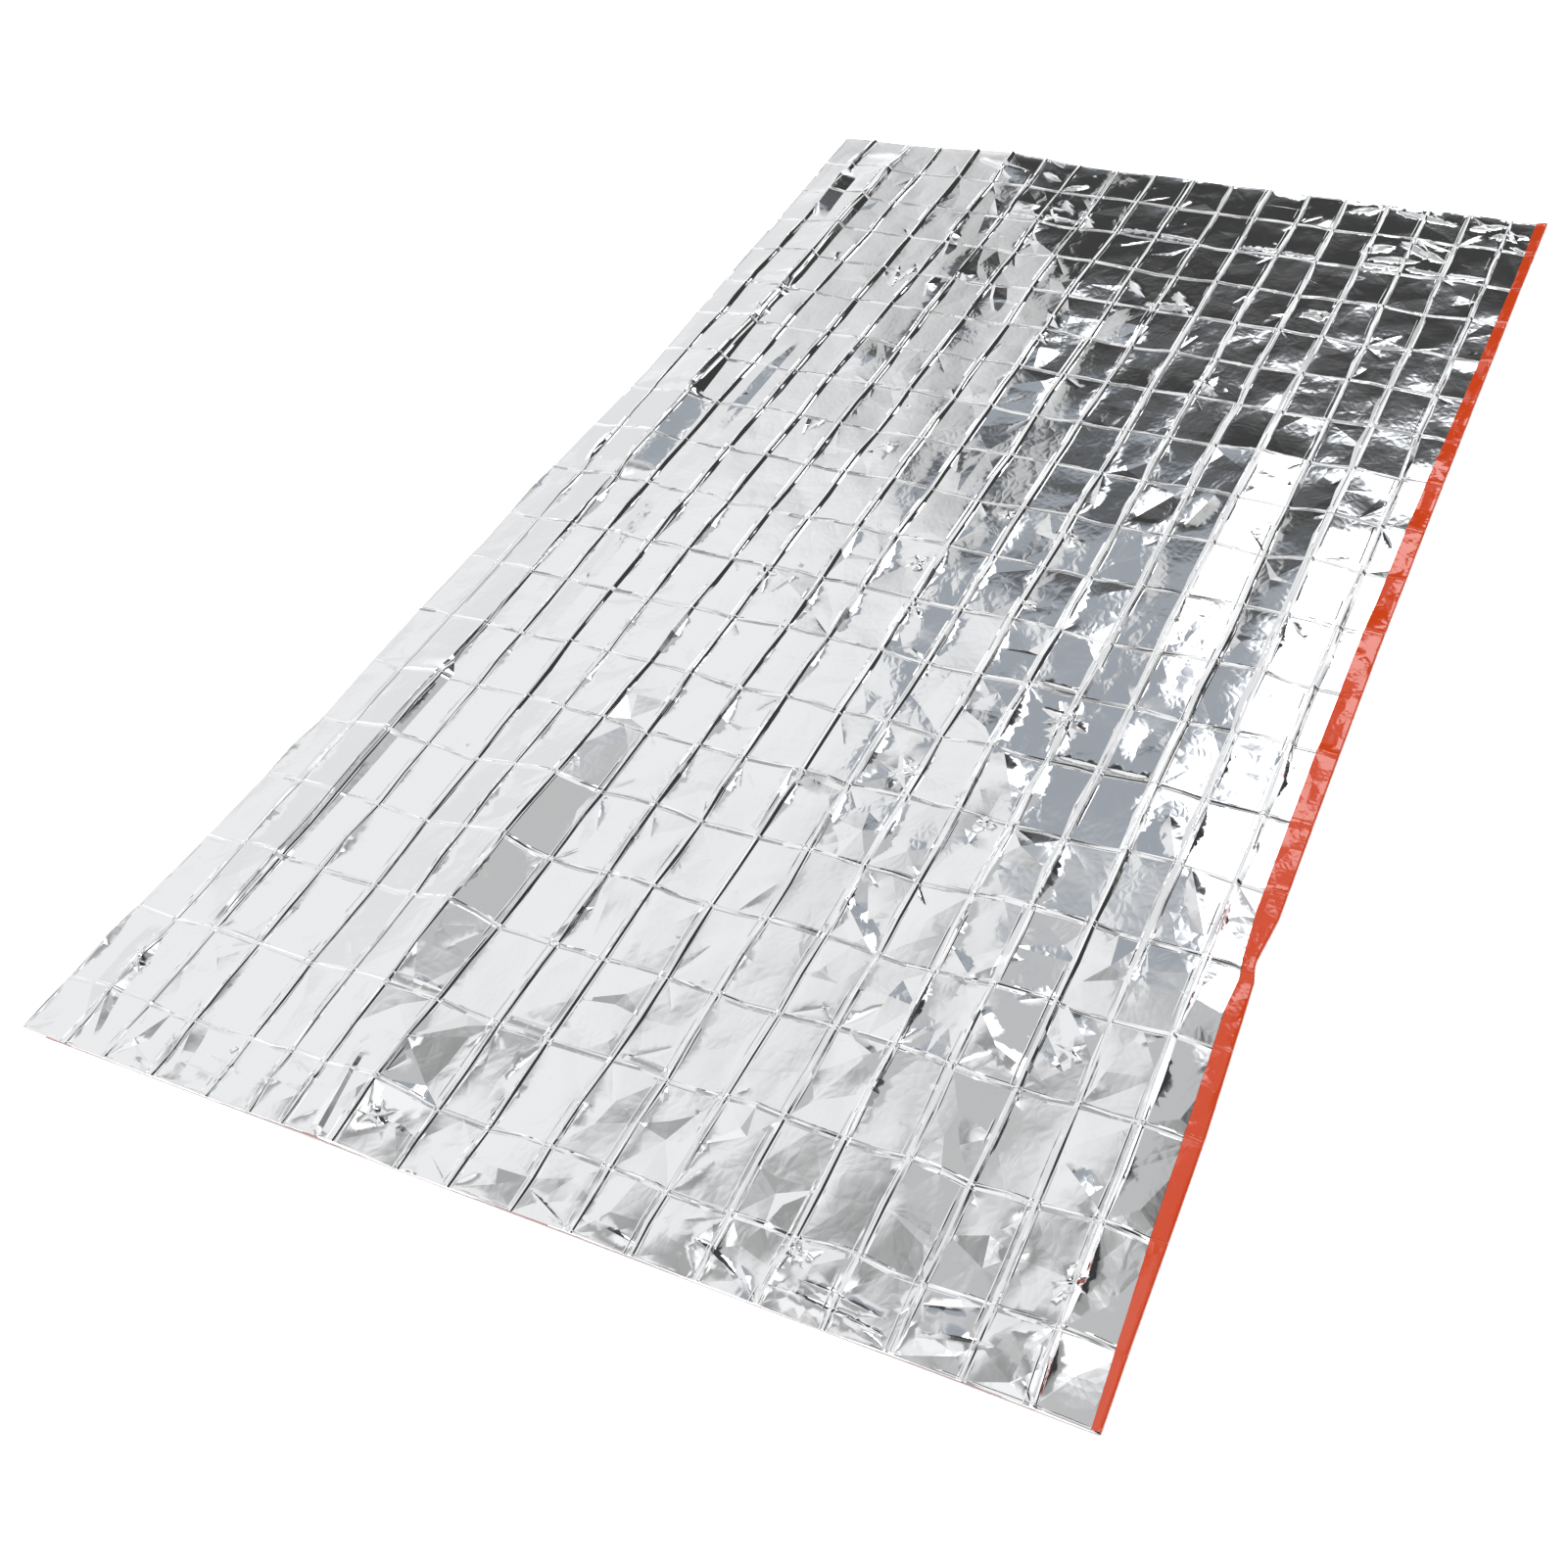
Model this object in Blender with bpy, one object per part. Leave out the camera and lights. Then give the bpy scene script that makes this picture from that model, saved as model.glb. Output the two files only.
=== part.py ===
"""Emergency foil blanket, laid open: one thin film sheet with its packing creases.

The sheet came out of its packet with a grid of creases, so its columns and rows of
cells stand off the floor along uneven ridges and lie flat in between. The right-hand
long edge is turned over onto the top as a narrow lip with one pleat in it.

Metres, +Z up. X runs across the sheet, Y along it, and the origin is the middle of the
floor face. The far end is at +Y, and "from_far" is a share of the length from there.
"""
from collections import namedtuple

import bmesh
import bpy
import numpy as np

MM = 0.001

# Driving sizes of the laid sheet.
LENGTH = 2.100
WIDTH = 1.157
FILM = 1.2 * MM

# The turned edge: outer radius of the bend, and how far the lip stands over the sheet
# in its middle and at its cut edge, from floor side to floor side.
BEND_RADIUS = 3.0 * MM
BEND_STEPS = 4
LIP_RISE_MIDDLE = 5.2 * MM
LIP_RISE_CUT = 3.4 * MM
# Where the row of points between the last crease and the lip's cut edge runs.
LAST_CELL_SHARE = 0.5

# Between two crossings a lengthwise crease sags to this share of its height, and the
# film between two creases sags by this much below the straight line.
RIDGE_SAG = 0.85
CELL_SAG = 1.5 * MM
# Crossings differ by this much from their crease's own height, and from its line.
CROSSING_RISE = 1.6 * MM
CROSSING_DRIFT = 1.5 * MM
SEED = 12

FILM_COLOUR = (0.78, 0.79, 0.80, 1.0)
FILM_ROUGHNESS = 0.16

# Outline: how far the left edge and the right fold line draw in from the full width,
# and how wide the lip is, all in millimetres.
Outline = namedtuple("Outline", "from_far left_inset fold_inset lip_width")
OUTLINE = (
    Outline(0.000, 2.0, 0.0, 17.0),
    Outline(0.089, 8.0, 3.5, 14.0),
    Outline(0.239, 16.0, 7.0, 17.0),
    Outline(0.370, 24.0, 10.0, 20.0),
    Outline(0.500, 15.5, 13.0, 22.0),
    Outline(0.600, 14.0, 13.0, 24.5),
    Outline(0.735, 13.5, 12.0, 22.0),
    Outline(0.755, 15.5, 18.0, 12.0),
    Outline(0.780, 13.0, 11.0, 18.0),
    Outline(0.852, 9.0, 4.0, 16.0),
    Outline(0.911, 3.5, 2.5, 11.0),
    Outline(0.961, 2.0, 1.5, 8.0),
    Outline(1.000, 0.0, 0.0, 6.0),
)

# Lengthwise creases from left to right, all in millimetres: how far each one runs from
# the left corners' line at the far end, half way and at the near end, and its height
# over the floor at the six stations. High and low creases mostly alternate, as in a
# concertina. The second is a tent-like ridge, and the sixth rises towards the near end.
HEIGHT_STATIONS = (0.05, 0.24, 0.43, 0.62, 0.81, 0.975)
POSITION_STATIONS = (0.05, 0.52, 0.975)
Crease = namedtuple("Crease", "far middle near heights")
CREASES = (
    Crease(57, 63, 60, (2, 2, 1, 2, 1, 4)),
    Crease(119, 111, 112, (3, 14, 18, 10, 12, 3)),
    Crease(178, 163, 171, (1, 2, 4, 6, 2, 2)),
    Crease(245, 232, 240, (2, 3, 2, 3, 2, 6)),
    Crease(306, 286, 294, (8, 2, 5, 2, 1, 6)),
    Crease(366, 350, 353, (6, 4, 4, 16, 25, 8)),
    Crease(423, 407, 398, (1, 2, 4, 4, 2, 17)),
    Crease(489, 476, 467, (10, 4, 9, 12, 11, 6)),
    Crease(550, 531, 526, (4, 2, 3, 6, 3, 4)),
    Crease(613, 602, 596, (8, 4, 8, 14, 12, 7)),
    Crease(680, 662, 657, (3, 5, 3, 7, 9, 4)),
    Crease(739, 730, 722, (11, 4, 7, 11, 9, 8)),
    Crease(802, 788, 786, (7, 3, 5, 9, 10, 6)),
    Crease(860, 853, 847, (4, 3, 6, 12, 12, 3)),
    Crease(923, 911, 911, (2, 2, 5, 8, 10, 5)),
    Crease(983, 976, 974, (6, 5, 6, 7, 10, 3)),
    Crease(1045, 1031, 1035, (3, 3, 7, 9, 10, 11)),
    Crease(1104, 1090, 1097, (3, 3, 6, 12, 16, 12)),
)
LEFT_EDGE_HEIGHT = 1.0
FOLD_HEIGHTS = (1, 0, 1, 2, 2, 0)
# The creases keep their full height up to the end stations and drop towards both ends.
END_SHARE = 0.5

# Crosswise creases from the far end to the near end: how far each one runs from there
# at the left edge and at the fold line, in millimetres.
Row = namedtuple("Row", "left right")
ROWS = (
    Row(0, 0),
    Row(97, 97),
    Row(198, 204),
    Row(300, 305),
    Row(400, 411),
    Row(503, 509),
    Row(606, 612),
    Row(714, 716),
    Row(822, 820),
    Row(926, 925),
    Row(1034, 1033),
    Row(1147, 1146),
    Row(1252, 1252),
    Row(1368, 1366),
    Row(1476, 1474),
    Row(1585, 1584),
    Row(1692, 1690),
    Row(1800, 1798),
    Row(1915, 1914),
    Row(2026, 2024),
    Row(2100, 2100),
)

# Cells that lie wholly flat on the floor and carry the sheet, counted from the left
# edge and from the far end.
Rest = namedtuple("Rest", "column row")
RESTS = (
    Rest(0, 1),
    Rest(0, 6),
    Rest(0, 11),
    Rest(0, 16),
    Rest(3, 3),
    Rest(3, 9),
    Rest(4, 13),
    Rest(3, 17),
    Rest(6, 4),
    Rest(9, 4),
    Rest(12, 4),
    Rest(14, 3),
    Rest(16, 4),
    Rest(17, 1),
    Rest(8, 19),
    Rest(10, 19),
    Rest(13, 19),
    Rest(15, 19),
)


def outline_at(from_far):
    """Left edge, fold line and lip width at one place along the sheet, in metres."""
    places = [entry.from_far for entry in OUTLINE]
    left = np.interp(from_far, places, [entry.left_inset for entry in OUTLINE])
    fold = np.interp(from_far, places, [entry.fold_inset for entry in OUTLINE])
    lip = np.interp(from_far, places, [entry.lip_width for entry in OUTLINE])
    return left * MM - WIDTH / 2, WIDTH / 2 - fold * MM, lip * MM


def crease_places(from_far):
    """X of the left edge, of every lengthwise crease and of the bend's start."""
    left, fold, _ = outline_at(from_far)
    places = [left]
    for crease in CREASES:
        along = (crease.far, crease.middle, crease.near)
        places.append(np.interp(from_far, POSITION_STATIONS, along) * MM - WIDTH / 2)
    return np.array(places + [fold - BEND_RADIUS])


def crease_heights(from_far):
    """Height over the floor at those places."""
    tables = [(LEFT_EDGE_HEIGHT,) * len(HEIGHT_STATIONS)]
    tables += [crease.heights for crease in CREASES]
    tables.append(FOLD_HEIGHTS)
    heights = [np.interp(from_far, HEIGHT_STATIONS, table) * MM for table in tables]
    to_end = min(from_far, 1.0 - from_far) / HEIGHT_STATIONS[0]
    return np.array(heights) * min(1.0, END_SHARE + (1.0 - END_SHARE) * to_end)


def with_middles(values):
    """The values with the middle of each gap put in between."""
    values = np.asarray(values, dtype=float)
    spread = np.repeat(values, 2, axis=0)[:-1]
    spread[1::2] = (values[:-1] + values[1:]) / 2
    return spread


def point_grid():
    """X, Y and floor-side height at every crossing, crease middle and cell middle."""
    rng = np.random.default_rng(SEED)
    shares = with_middles([row.left * MM / LENGTH for row in ROWS])
    places = np.array([crease_places(share) for share in shares])
    shape = (len(ROWS), len(CREASES) + 2)
    rises = rng.uniform(-CROSSING_RISE, CROSSING_RISE, shape)
    crossings = np.array([crease_heights(share) for share in shares[::2]]) + rises
    middles = RIDGE_SAG * (crossings[:-1] + crossings[1:]) / 2
    on_creases = np.empty((len(shares), shape[1]))
    on_creases[::2] = crossings
    on_creases[1::2] = middles
    xs = with_middles(places.T).T
    zs = with_middles(on_creases.T).T
    zs[:, 1::2] -= CELL_SAG
    drift = rng.uniform(-CROSSING_DRIFT, CROSSING_DRIFT, xs.shape)
    xs[:, 1:-2] += drift[:, 1:-2]
    skew = with_middles([(row.right - row.left) * MM for row in ROWS])
    lefts = with_middles([row.left * MM for row in ROWS])
    across = (xs + WIDTH / 2) / WIDTH
    ys = LENGTH / 2 - lefts[:, None] - across * skew[:, None]
    for rest in RESTS:
        zs[2 * rest.row:2 * rest.row + 3, 2 * rest.column:2 * rest.column + 3] = 0.0
    return xs, ys, np.maximum(zs, 0.0), shares


def lip_section(fold, lip, sheet):
    """Floor side and top side of the bend and lip, from the sheet to the cut edge.

    sheet(x) is the height of the sheet's floor side below the lip.
    """
    start = fold - BEND_RADIUS
    base = sheet(start)
    outer = []
    inner = []
    for step in range(1, BEND_STEPS + 1):
        angle = np.pi * step / BEND_STEPS
        for side, radius in ((outer, BEND_RADIUS), (inner, BEND_RADIUS - FILM)):
            x = start + radius * np.sin(angle)
            side.append((x, base + BEND_RADIUS - radius * np.cos(angle)))
    middle = (start + fold - lip) / 2
    for x, rise in ((middle, LIP_RISE_MIDDLE), (fold - lip, LIP_RISE_CUT)):
        outer.append((x, sheet(x) + rise))
        inner.append((x, sheet(x) + rise - FILM))
    return outer, inner


def cross_sections():
    """Floor side and top side of the whole sheet, one pair for each row of points."""
    sections = []
    for xs, ys, zs, share in zip(*point_grid()):
        _, fold, lip = outline_at(share)
        under_lip = (fold - lip, (xs[-1] + fold - lip) / 2)
        last_cell = xs[-3] + LAST_CELL_SHARE * (under_lip[0] - xs[-3])
        stations = np.concatenate((xs[:-2], (last_cell,), under_lip, xs[-1:]))
        heights = np.interp(stations, xs, zs)
        outer, inner = lip_section(fold, lip, lambda x: np.interp(x, stations, heights))
        floor_side = list(zip(stations, heights)) + outer
        top_side = list(zip(stations, heights + FILM)) + inner
        sections.append(
            [[(x, np.interp(x, xs, ys), z) for x, z in side] for side in (floor_side, top_side)]
        )
    return sections


def splits_up(i, j):
    """Which of its two diagonals cuts this square, so that it joins crossing and middle."""
    return (i + j) % 2 == 0


def add_square(bm, corners, up, flipped):
    """Two triangles over four corners, given in order round the square."""
    a, b, c, d = corners
    triangles = ((a, b, c), (a, c, d)) if up else ((a, b, d), (b, c, d))
    for triangle in triangles:
        bm.faces.new(triangle[::-1] if flipped else triangle)


def build_sheet():
    bm = bmesh.new()
    sides = {"floor": [], "top": []}
    for floor_side, top_side in cross_sections():
        sides["floor"].append([bm.verts.new(point) for point in floor_side])
        sides["top"].append([bm.verts.new(point) for point in top_side])
    last_row = len(sides["top"]) - 1
    last_point = len(sides["top"][0]) - 1
    for name, rows in sides.items():
        for j in range(last_row):
            for i in range(last_point):
                corners = (rows[j][i], rows[j + 1][i], rows[j + 1][i + 1], rows[j][i + 1])
                add_square(bm, corners, splits_up(i, j), name == "floor")
    floor_rows = sides["floor"]
    top_rows = sides["top"]
    for j in range(last_row):
        for i, flipped in ((0, True), (last_point, False)):
            wall = (top_rows[j][i], top_rows[j + 1][i], floor_rows[j + 1][i], floor_rows[j][i])
            add_square(bm, wall, True, flipped)
    for i in range(last_point):
        for j, flipped in ((0, False), (last_row, True)):
            wall = (top_rows[j][i], top_rows[j][i + 1], floor_rows[j][i + 1], floor_rows[j][i])
            add_square(bm, wall, True, flipped)
    mesh = bpy.data.meshes.new("foil_blanket")
    bm.to_mesh(mesh)
    bm.free()
    return mesh


def film_material():
    material = bpy.data.materials.new("foil_film")
    material.use_nodes = True
    shader = material.node_tree.nodes["Principled BSDF"]
    shader.inputs["Base Color"].default_value = FILM_COLOUR
    shader.inputs["Metallic"].default_value = 1.0
    shader.inputs["Roughness"].default_value = FILM_ROUGHNESS
    return material


def main():
    for thing in list(bpy.data.objects):
        bpy.data.objects.remove(thing, do_unlink=True)
    blanket = bpy.data.objects.new("foil_blanket", build_sheet())
    blanket.data.materials.append(film_material())
    bpy.context.collection.objects.link(blanket)


main()
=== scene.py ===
"""Emergency foil blanket laid open, silver side up, with its packing creases.

The film is one closed sheet: silver on top, orange below, and turned over along its
right-hand long edge into a narrow orange lip. Tables in millimetres say where each crease
runs and how far it stands up, and the single folds, dents and knots come after them. In
the tables x runs from the line of the left corners and y from the far end.
"""
from collections import namedtuple

import bpy
import numpy as np
from bpy.props import FloatProperty, FloatVectorProperty, IntProperty, PointerProperty
from mathutils import Matrix, Vector
from mathutils.bvhtree import BVHTree
from mathutils.geometry import delaunay_2d_cdt


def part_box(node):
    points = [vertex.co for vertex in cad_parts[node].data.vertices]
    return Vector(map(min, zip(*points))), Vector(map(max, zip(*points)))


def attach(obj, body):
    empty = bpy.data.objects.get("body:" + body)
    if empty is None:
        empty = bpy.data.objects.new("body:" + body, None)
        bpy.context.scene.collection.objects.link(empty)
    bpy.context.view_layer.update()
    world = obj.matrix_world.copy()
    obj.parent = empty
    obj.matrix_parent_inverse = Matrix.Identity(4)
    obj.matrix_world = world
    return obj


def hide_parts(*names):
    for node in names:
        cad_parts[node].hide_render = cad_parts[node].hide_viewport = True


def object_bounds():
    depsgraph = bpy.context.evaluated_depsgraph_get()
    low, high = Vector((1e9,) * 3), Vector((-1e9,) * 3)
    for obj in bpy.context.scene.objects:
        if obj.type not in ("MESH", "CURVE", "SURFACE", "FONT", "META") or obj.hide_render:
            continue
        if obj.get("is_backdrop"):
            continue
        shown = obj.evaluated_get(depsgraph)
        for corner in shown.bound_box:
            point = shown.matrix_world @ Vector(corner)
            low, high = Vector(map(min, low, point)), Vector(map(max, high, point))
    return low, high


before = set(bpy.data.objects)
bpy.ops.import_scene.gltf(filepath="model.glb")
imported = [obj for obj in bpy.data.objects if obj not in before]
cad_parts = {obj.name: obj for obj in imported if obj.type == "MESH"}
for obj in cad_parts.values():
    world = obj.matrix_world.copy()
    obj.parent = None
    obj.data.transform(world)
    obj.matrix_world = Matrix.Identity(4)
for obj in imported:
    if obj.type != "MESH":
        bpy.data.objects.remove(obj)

CAD_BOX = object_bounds()

bl_info = {
    "name": "Emergency foil blanket",
    "version": (1, 0, 0),
    "blender": (4, 5, 0),
    "location": "3D View > Sidebar > Foil Blanket",
    "description": "Builds a creased metallised film blanket and its studio stage",
    "category": "Object",
}

MM = 0.001
BODY = "root"
NODE = "foil_blanket"

# The laid sheet's size comes from the frame.
FLOOR_CORNER, TOP_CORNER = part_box(NODE)
WIDTH = (TOP_CORNER[0] - FLOOR_CORNER[0]) / MM
LENGTH = (TOP_CORNER[1] - FLOOR_CORNER[1]) / MM

# Outline: how far the left edge and the right fold line draw in from the full width, and
# how wide the lip is.
Outline = namedtuple("Outline", "from_far left_inset fold_inset lip_width")
OUTLINE = (
    Outline(0.000, 2.0, 0.0, 16.0),
    Outline(0.089, 8.0, 3.5, 14.0),
    Outline(0.239, 16.0, 7.0, 18.0),
    Outline(0.370, 24.0, 10.0, 22.0),
    Outline(0.500, 15.5, 12.0, 24.0),
    Outline(0.600, 14.0, 12.0, 25.0),
    Outline(0.717, 13.5, 11.0, 24.0),
    Outline(0.746, 15.5, 17.0, 14.0),
    Outline(0.750, 15.5, 16.5, 13.0),
    Outline(0.760, 15.5, 12.0, 15.0),
    Outline(0.780, 13.0, 10.0, 19.0),
    Outline(0.852, 9.0, 4.0, 19.0),
    Outline(0.911, 3.5, 2.5, 16.0),
    Outline(0.961, 2.0, 1.5, 12.0),
    Outline(1.000, 0.0, 0.0, 9.0),
)

# Lengthwise creases from left to right: how far each one runs from the left corners' line
# at the far end, half way and at the near end, how far its own narrow ridge stands up at
# the six stations, and how far its feet are on each side where it stands highest.
RIDGE_STATIONS = (0.05, 0.24, 0.43, 0.62, 0.81, 0.975)
POSITION_STATIONS = (0.05, 0.52, 0.975)
Crease = namedtuple("Crease", "far middle near ridges left_width right_width")
CREASES = (
    Crease(57, 63, 60, (4.6, 5.4, 0.8, 0.5, 0.5, 0.8), 5, 5.6),
    Crease(121, 116, 112, (0.8, 0.8, 0.8, 0.8, 0.8, 1.0), 5, 2.0),
    Crease(178, 163, 171, (2.4, 3.0, 3.4, 1.5, 1.2, 1.2), 5, 4.4),
    Crease(245, 232, 240, (4.2, 4.4, 3.8, 3.2, 2.0, 1.2), 5, 5.6),
    Crease(306, 286, 294, (3.8, 3.8, 3.4, 1.3, 1.2, 1.2), 5, 5.0),
    Crease(366, 350, 336, (2.6, 3.4, 3.4, 2.6, 1.6, 1.4), 5, 4.4),
    Crease(423, 407, 396, (2.4, 3.2, 3.4, 2.6, 2.0, 1.6), 5, 4.4),
    Crease(489, 476, 467, (2.2, 3.2, 3.2, 2.6, 2.0, 1.4), 5, 4.2),
    Crease(550, 531, 526, (1.8, 2.4, 2.8, 2.6, 2.0, 1.4), 6, 3.6),
    Crease(613, 602, 596, (1.8, 2.2, 2.6, 2.6, 2.0, 1.4), 6, 3.4),
    Crease(680, 662, 657, (1.8, 2.4, 2.6, 2.2, 1.5, 1.3), 7, 3.2),
    Crease(739, 730, 722, (1.8, 2.4, 2.8, 2.2, 1.5, 1.3), 8, 3.2),
    Crease(802, 788, 786, (1.8, 2.6, 3.2, 3.0, 2.0, 1.6), 8, 3.4),
    Crease(860, 853, 847, (1.8, 2.6, 3.4, 3.2, 2.0, 1.6), 10, 3.4),
    Crease(923, 911, 911, (1.8, 2.6, 3.4, 3.2, 2.0, 1.6), 10, 3.4),
    Crease(983, 976, 974, (2.0, 2.8, 3.6, 5.0, 2.8, 1.8), 9, 5.8),
    Crease(1045, 1031, 1035, (1.8, 2.8, 3.6, 3.2, 2.0, 1.6), 11, 3.4),
    Crease(1104, 1090, 1097, (2.2, 3.4, 4.8, 5.0, 4.2, 3.0), 6, 6.4),
)

# The panels lie this far over the floor, and at these crossings higher or lower: a
# lengthwise crease, the crosswise crease where it starts, and the rise at each from there.
PANEL_HEIGHT = 3.0
LEFT_EDGE_HEIGHT = 1.0
FOLD_HEIGHT = 1.0
Lift = namedtuple("Lift", "crease row rises")
LIFTS = (
    Lift(1, 0, (-1.0,) * 21),
    Lift(4, 0, (5.0, 3.0, 1.0)),
    Lift(5, 0, (9.0, 5.5, 1.0)),
    Lift(5, 4, (1.0, 1.6, 1.6, 1.0)),
    Lift(5, 13, (1.0, 4.0, 7.0, 8.0, 8.0, 7.0, 4.0)),
    Lift(6, 0, (5.5, 4.5, 1.0)),
    Lift(6, 13, (1.5, 7.0, 14.0, 16.0, 16.0, 14.0, 8.0, 3.0)),
    Lift(7, 0, (1.5, 1.2, 4.0, 1.0)),
    Lift(7, 18, (6.0, 13.0, 5.0)),
    Lift(8, 3, (4.5, 4.5, 2.0)),
    Lift(8, 8, (1.2, 2.5, 1.5)),
    Lift(8, 17, (1.0, 2.0, 1.0)),
    Lift(9, 1, (0.5, 1.5, 3.0, 4.0, 4.0, 3.6, 2.0)),
    Lift(10, 10, (1.2, 2.6, 2.2)),
    Lift(11, 8, (0.8, 1.4, 1.2, 0.6)),
    Lift(11, 14, (1.0, 2.0, 1.0)),
    Lift(12, 9, (2.0, -1.4, 2.6, 2.2)),
    Lift(13, 8, (0.0, 2.6, 0.0, 1.4)),
    Lift(13, 13, (2.0, 1.2)),
    Lift(14, 7, (2.4, 2.4, 1.4)),
    Lift(14, 13, (0.4, 2.4, 3.0, 1.0, 3.0, 1.0)),
    Lift(15, 7, (5.6, 5.2, 4.0, 2.6, 2.4, 1.0, 1.0, 3.4, 4.0, 4.0, 4.0, 3.0)),
    Lift(16, 12, (1.2, 1.6, 3.6, 3.4, 1.0)),
    Lift(17, 7, (3.4, 4.2, 5.2, 4.0, 2.6, 1.0, 0.0, 6.0, 6.0, 5.0, 2.5)),
    Lift(18, 14, (3.0, 7.0, 7.6, 7.0, 6.0, 3.4)),
)
# How far a crossing stands up or down at random, at most.
CROSSING_RISE = 1.2

# The turned edge: the angles of its bend, in degrees, and the shares of the lip's width
# that get points, how far the lip bulges half way, how far its level strays at random and
# over which size that changes.
BEND_ANGLES = (30, 60, 90, 120, 150, 180)
LIP_SHARES = (0.25, 0.5, 0.75, 0.9, 1.0)
LIP_BULGE = 0.2
LIP_UNEVEN = 1.2
LIP_UNEVEN_SIZE = 28.0
# How far the lip's free edge stands over the film, from the far end to the near end.
LipLevel = namedtuple("LipLevel", "y rise")
LIP_LEVELS = (
    LipLevel(0, 2.2),
    LipLevel(640, 2.0),
    LipLevel(665, 4.2),
    LipLevel(690, 2.0),
    LipLevel(785, 1.8),
    LipLevel(812, 4.8),
    LipLevel(895, 4.6),
    LipLevel(915, 1.8),
    LipLevel(990, 1.8),
    LipLevel(1010, 4.6),
    LipLevel(1130, 4.8),
    LipLevel(1145, 1.8),
    LipLevel(1235, 1.8),
    LipLevel(1255, 4.8),
    LipLevel(1450, 4.6),
    LipLevel(1475, 2.0),
    LipLevel(2100, 2.0),
)

# Crosswise creases from the far end to the near end: where each one runs at the left edge
# and at the fold line, how far its ridge stands up, and how wide that is on each side.
Row = namedtuple("Row", "left right ridge width")
ROWS = (
    Row(0, 0, 0.6, 2.8),
    Row(97, 97, 1.5, 3.6),
    Row(198, 204, 1.5, 3.6),
    Row(300, 305, 1.4, 3.4),
    Row(400, 411, 1.3, 3.2),
    Row(503, 509, 1.1, 3.0),
    Row(606, 612, 1.1, 3.0),
    Row(714, 716, 1.1, 3.0),
    Row(822, 820, 1.0, 2.8),
    Row(926, 925, 1.0, 2.8),
    Row(1034, 1033, 1.0, 2.8),
    Row(1147, 1146, 0.9, 2.6),
    Row(1252, 1252, 0.9, 2.6),
    Row(1368, 1366, 0.9, 2.6),
    Row(1476, 1474, 0.9, 2.6),
    Row(1585, 1584, 0.9, 2.6),
    Row(1692, 1690, 0.9, 2.6),
    Row(1800, 1798, 1.0, 2.6),
    Row(1915, 1914, 1.1, 2.8),
    Row(2026, 2024, 1.2, 2.8),
    Row(2100, 2100, 0.6, 2.8),
)
# How far a crossing strays from its place across and along the sheet.
STRAY_ACROSS = 2.0
STRAY_ALONG = 4.0
# How far a crease bends away half way between two crossings.
BEND_ACROSS = 1.4
BEND_ALONG = 2.6
# A lengthwise ridge's size, in times that of its table, at the crossings and half way
# between, and how far its height and its two widths each stray from that.
UNEVEN_CROSSING = 0.6, 1.0
UNEVEN_MIDDLE = 0.8, 1.3
UNEVEN_PART = 0.94, 1.06
# The same for a crosswise ridge's height and its width.
UNEVEN_ROW_RIDGE = 0.2, 1.8
UNEVEN_ROW_WIDTH = 0.6, 1.4
# How far a panel bows between two lengthwise creases, and the range of its share of that.
BOW = 0.8
BOW_SHARES = -0.7, 1.0
# How far a cell bows between all four of its creases. It does so in full between the first
# and the last of this many parts of its width.
PILLOW = 1.3
PILLOW_PARTS = 6
# Soft waves all over the film: how high they are and over which size they change.
WAVES = (0.22, 34.0), (0.10, 15.0)

# Random points inside a cell: how many cells have a second one, how far in they lie as
# shares of the cell, and how far they stand up or down at most.
SECOND_PEAK = 0.6
PEAK_PLACES = 0.16, 0.84
PEAK_RISE = 1.3
# Random folds: how many a cell has, how far they aim from its middle, how far from a
# crossing they start, how long they are, their rise, their feet, and the share of an end.
FOLDS_PER_CELL = 0.8
FOLD_AIM = 24, 40
FOLD_START = 0, 8
FOLD_RUN = 18, 60
FOLD_RISE = 0.2, 0.9
FOLD_FOOT = 2.5, 6.5
FOLD_TAPER = 0.35
# Long lens-shaped folds along a cell's left crease: the share of cells that have one, from
# where on, its foot inside the cell and its rise in parts of that, its other foot, and the
# share of an end.
WEDGE_SHARE = 0.45
WEDGE_FROM = 1000.0
WEDGE_FOOT = 5, 13
WEDGE_SLOPE = 0.18, 0.40
WEDGE_OTHER_FOOT = 2.5
WEDGE_TAPER = 0.5
# Random hollows and bulges: how far they lie from a cell's middle, their smallest and
# largest size, their rise and turn at most, and how many sizes away they still count.
DENT_AIM = 22, 42
DENT_SMALLEST = 9, 16
DENT_LARGEST = 20, 40
DENT_RISE = 0.8
DENT_TURN = 40
DENT_REACH = 2.5

# Mesh spacing: along the creases, in the open panels, and on the underside.
LINE_STEP = 9.0
PANEL_STEP = 10.4
UNDER_STEP = 24.0
# How far a point of the open panels strays from its grid, as a share of the spacing.
LOOSE_STRAY = 0.15
# Points of the plan closer than this are one.
NEARNESS = 0.01
# How many squares a grid over the sheet has to spare each way.
SPARE_SQUARES = 4
# How far the underside's edge may stand over the lowest film near it.
RIM_DROP = 0.5
# Edges between faces that differ by more than this, in degrees, are sharp.
SHARP_ANGLE = 70

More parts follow.
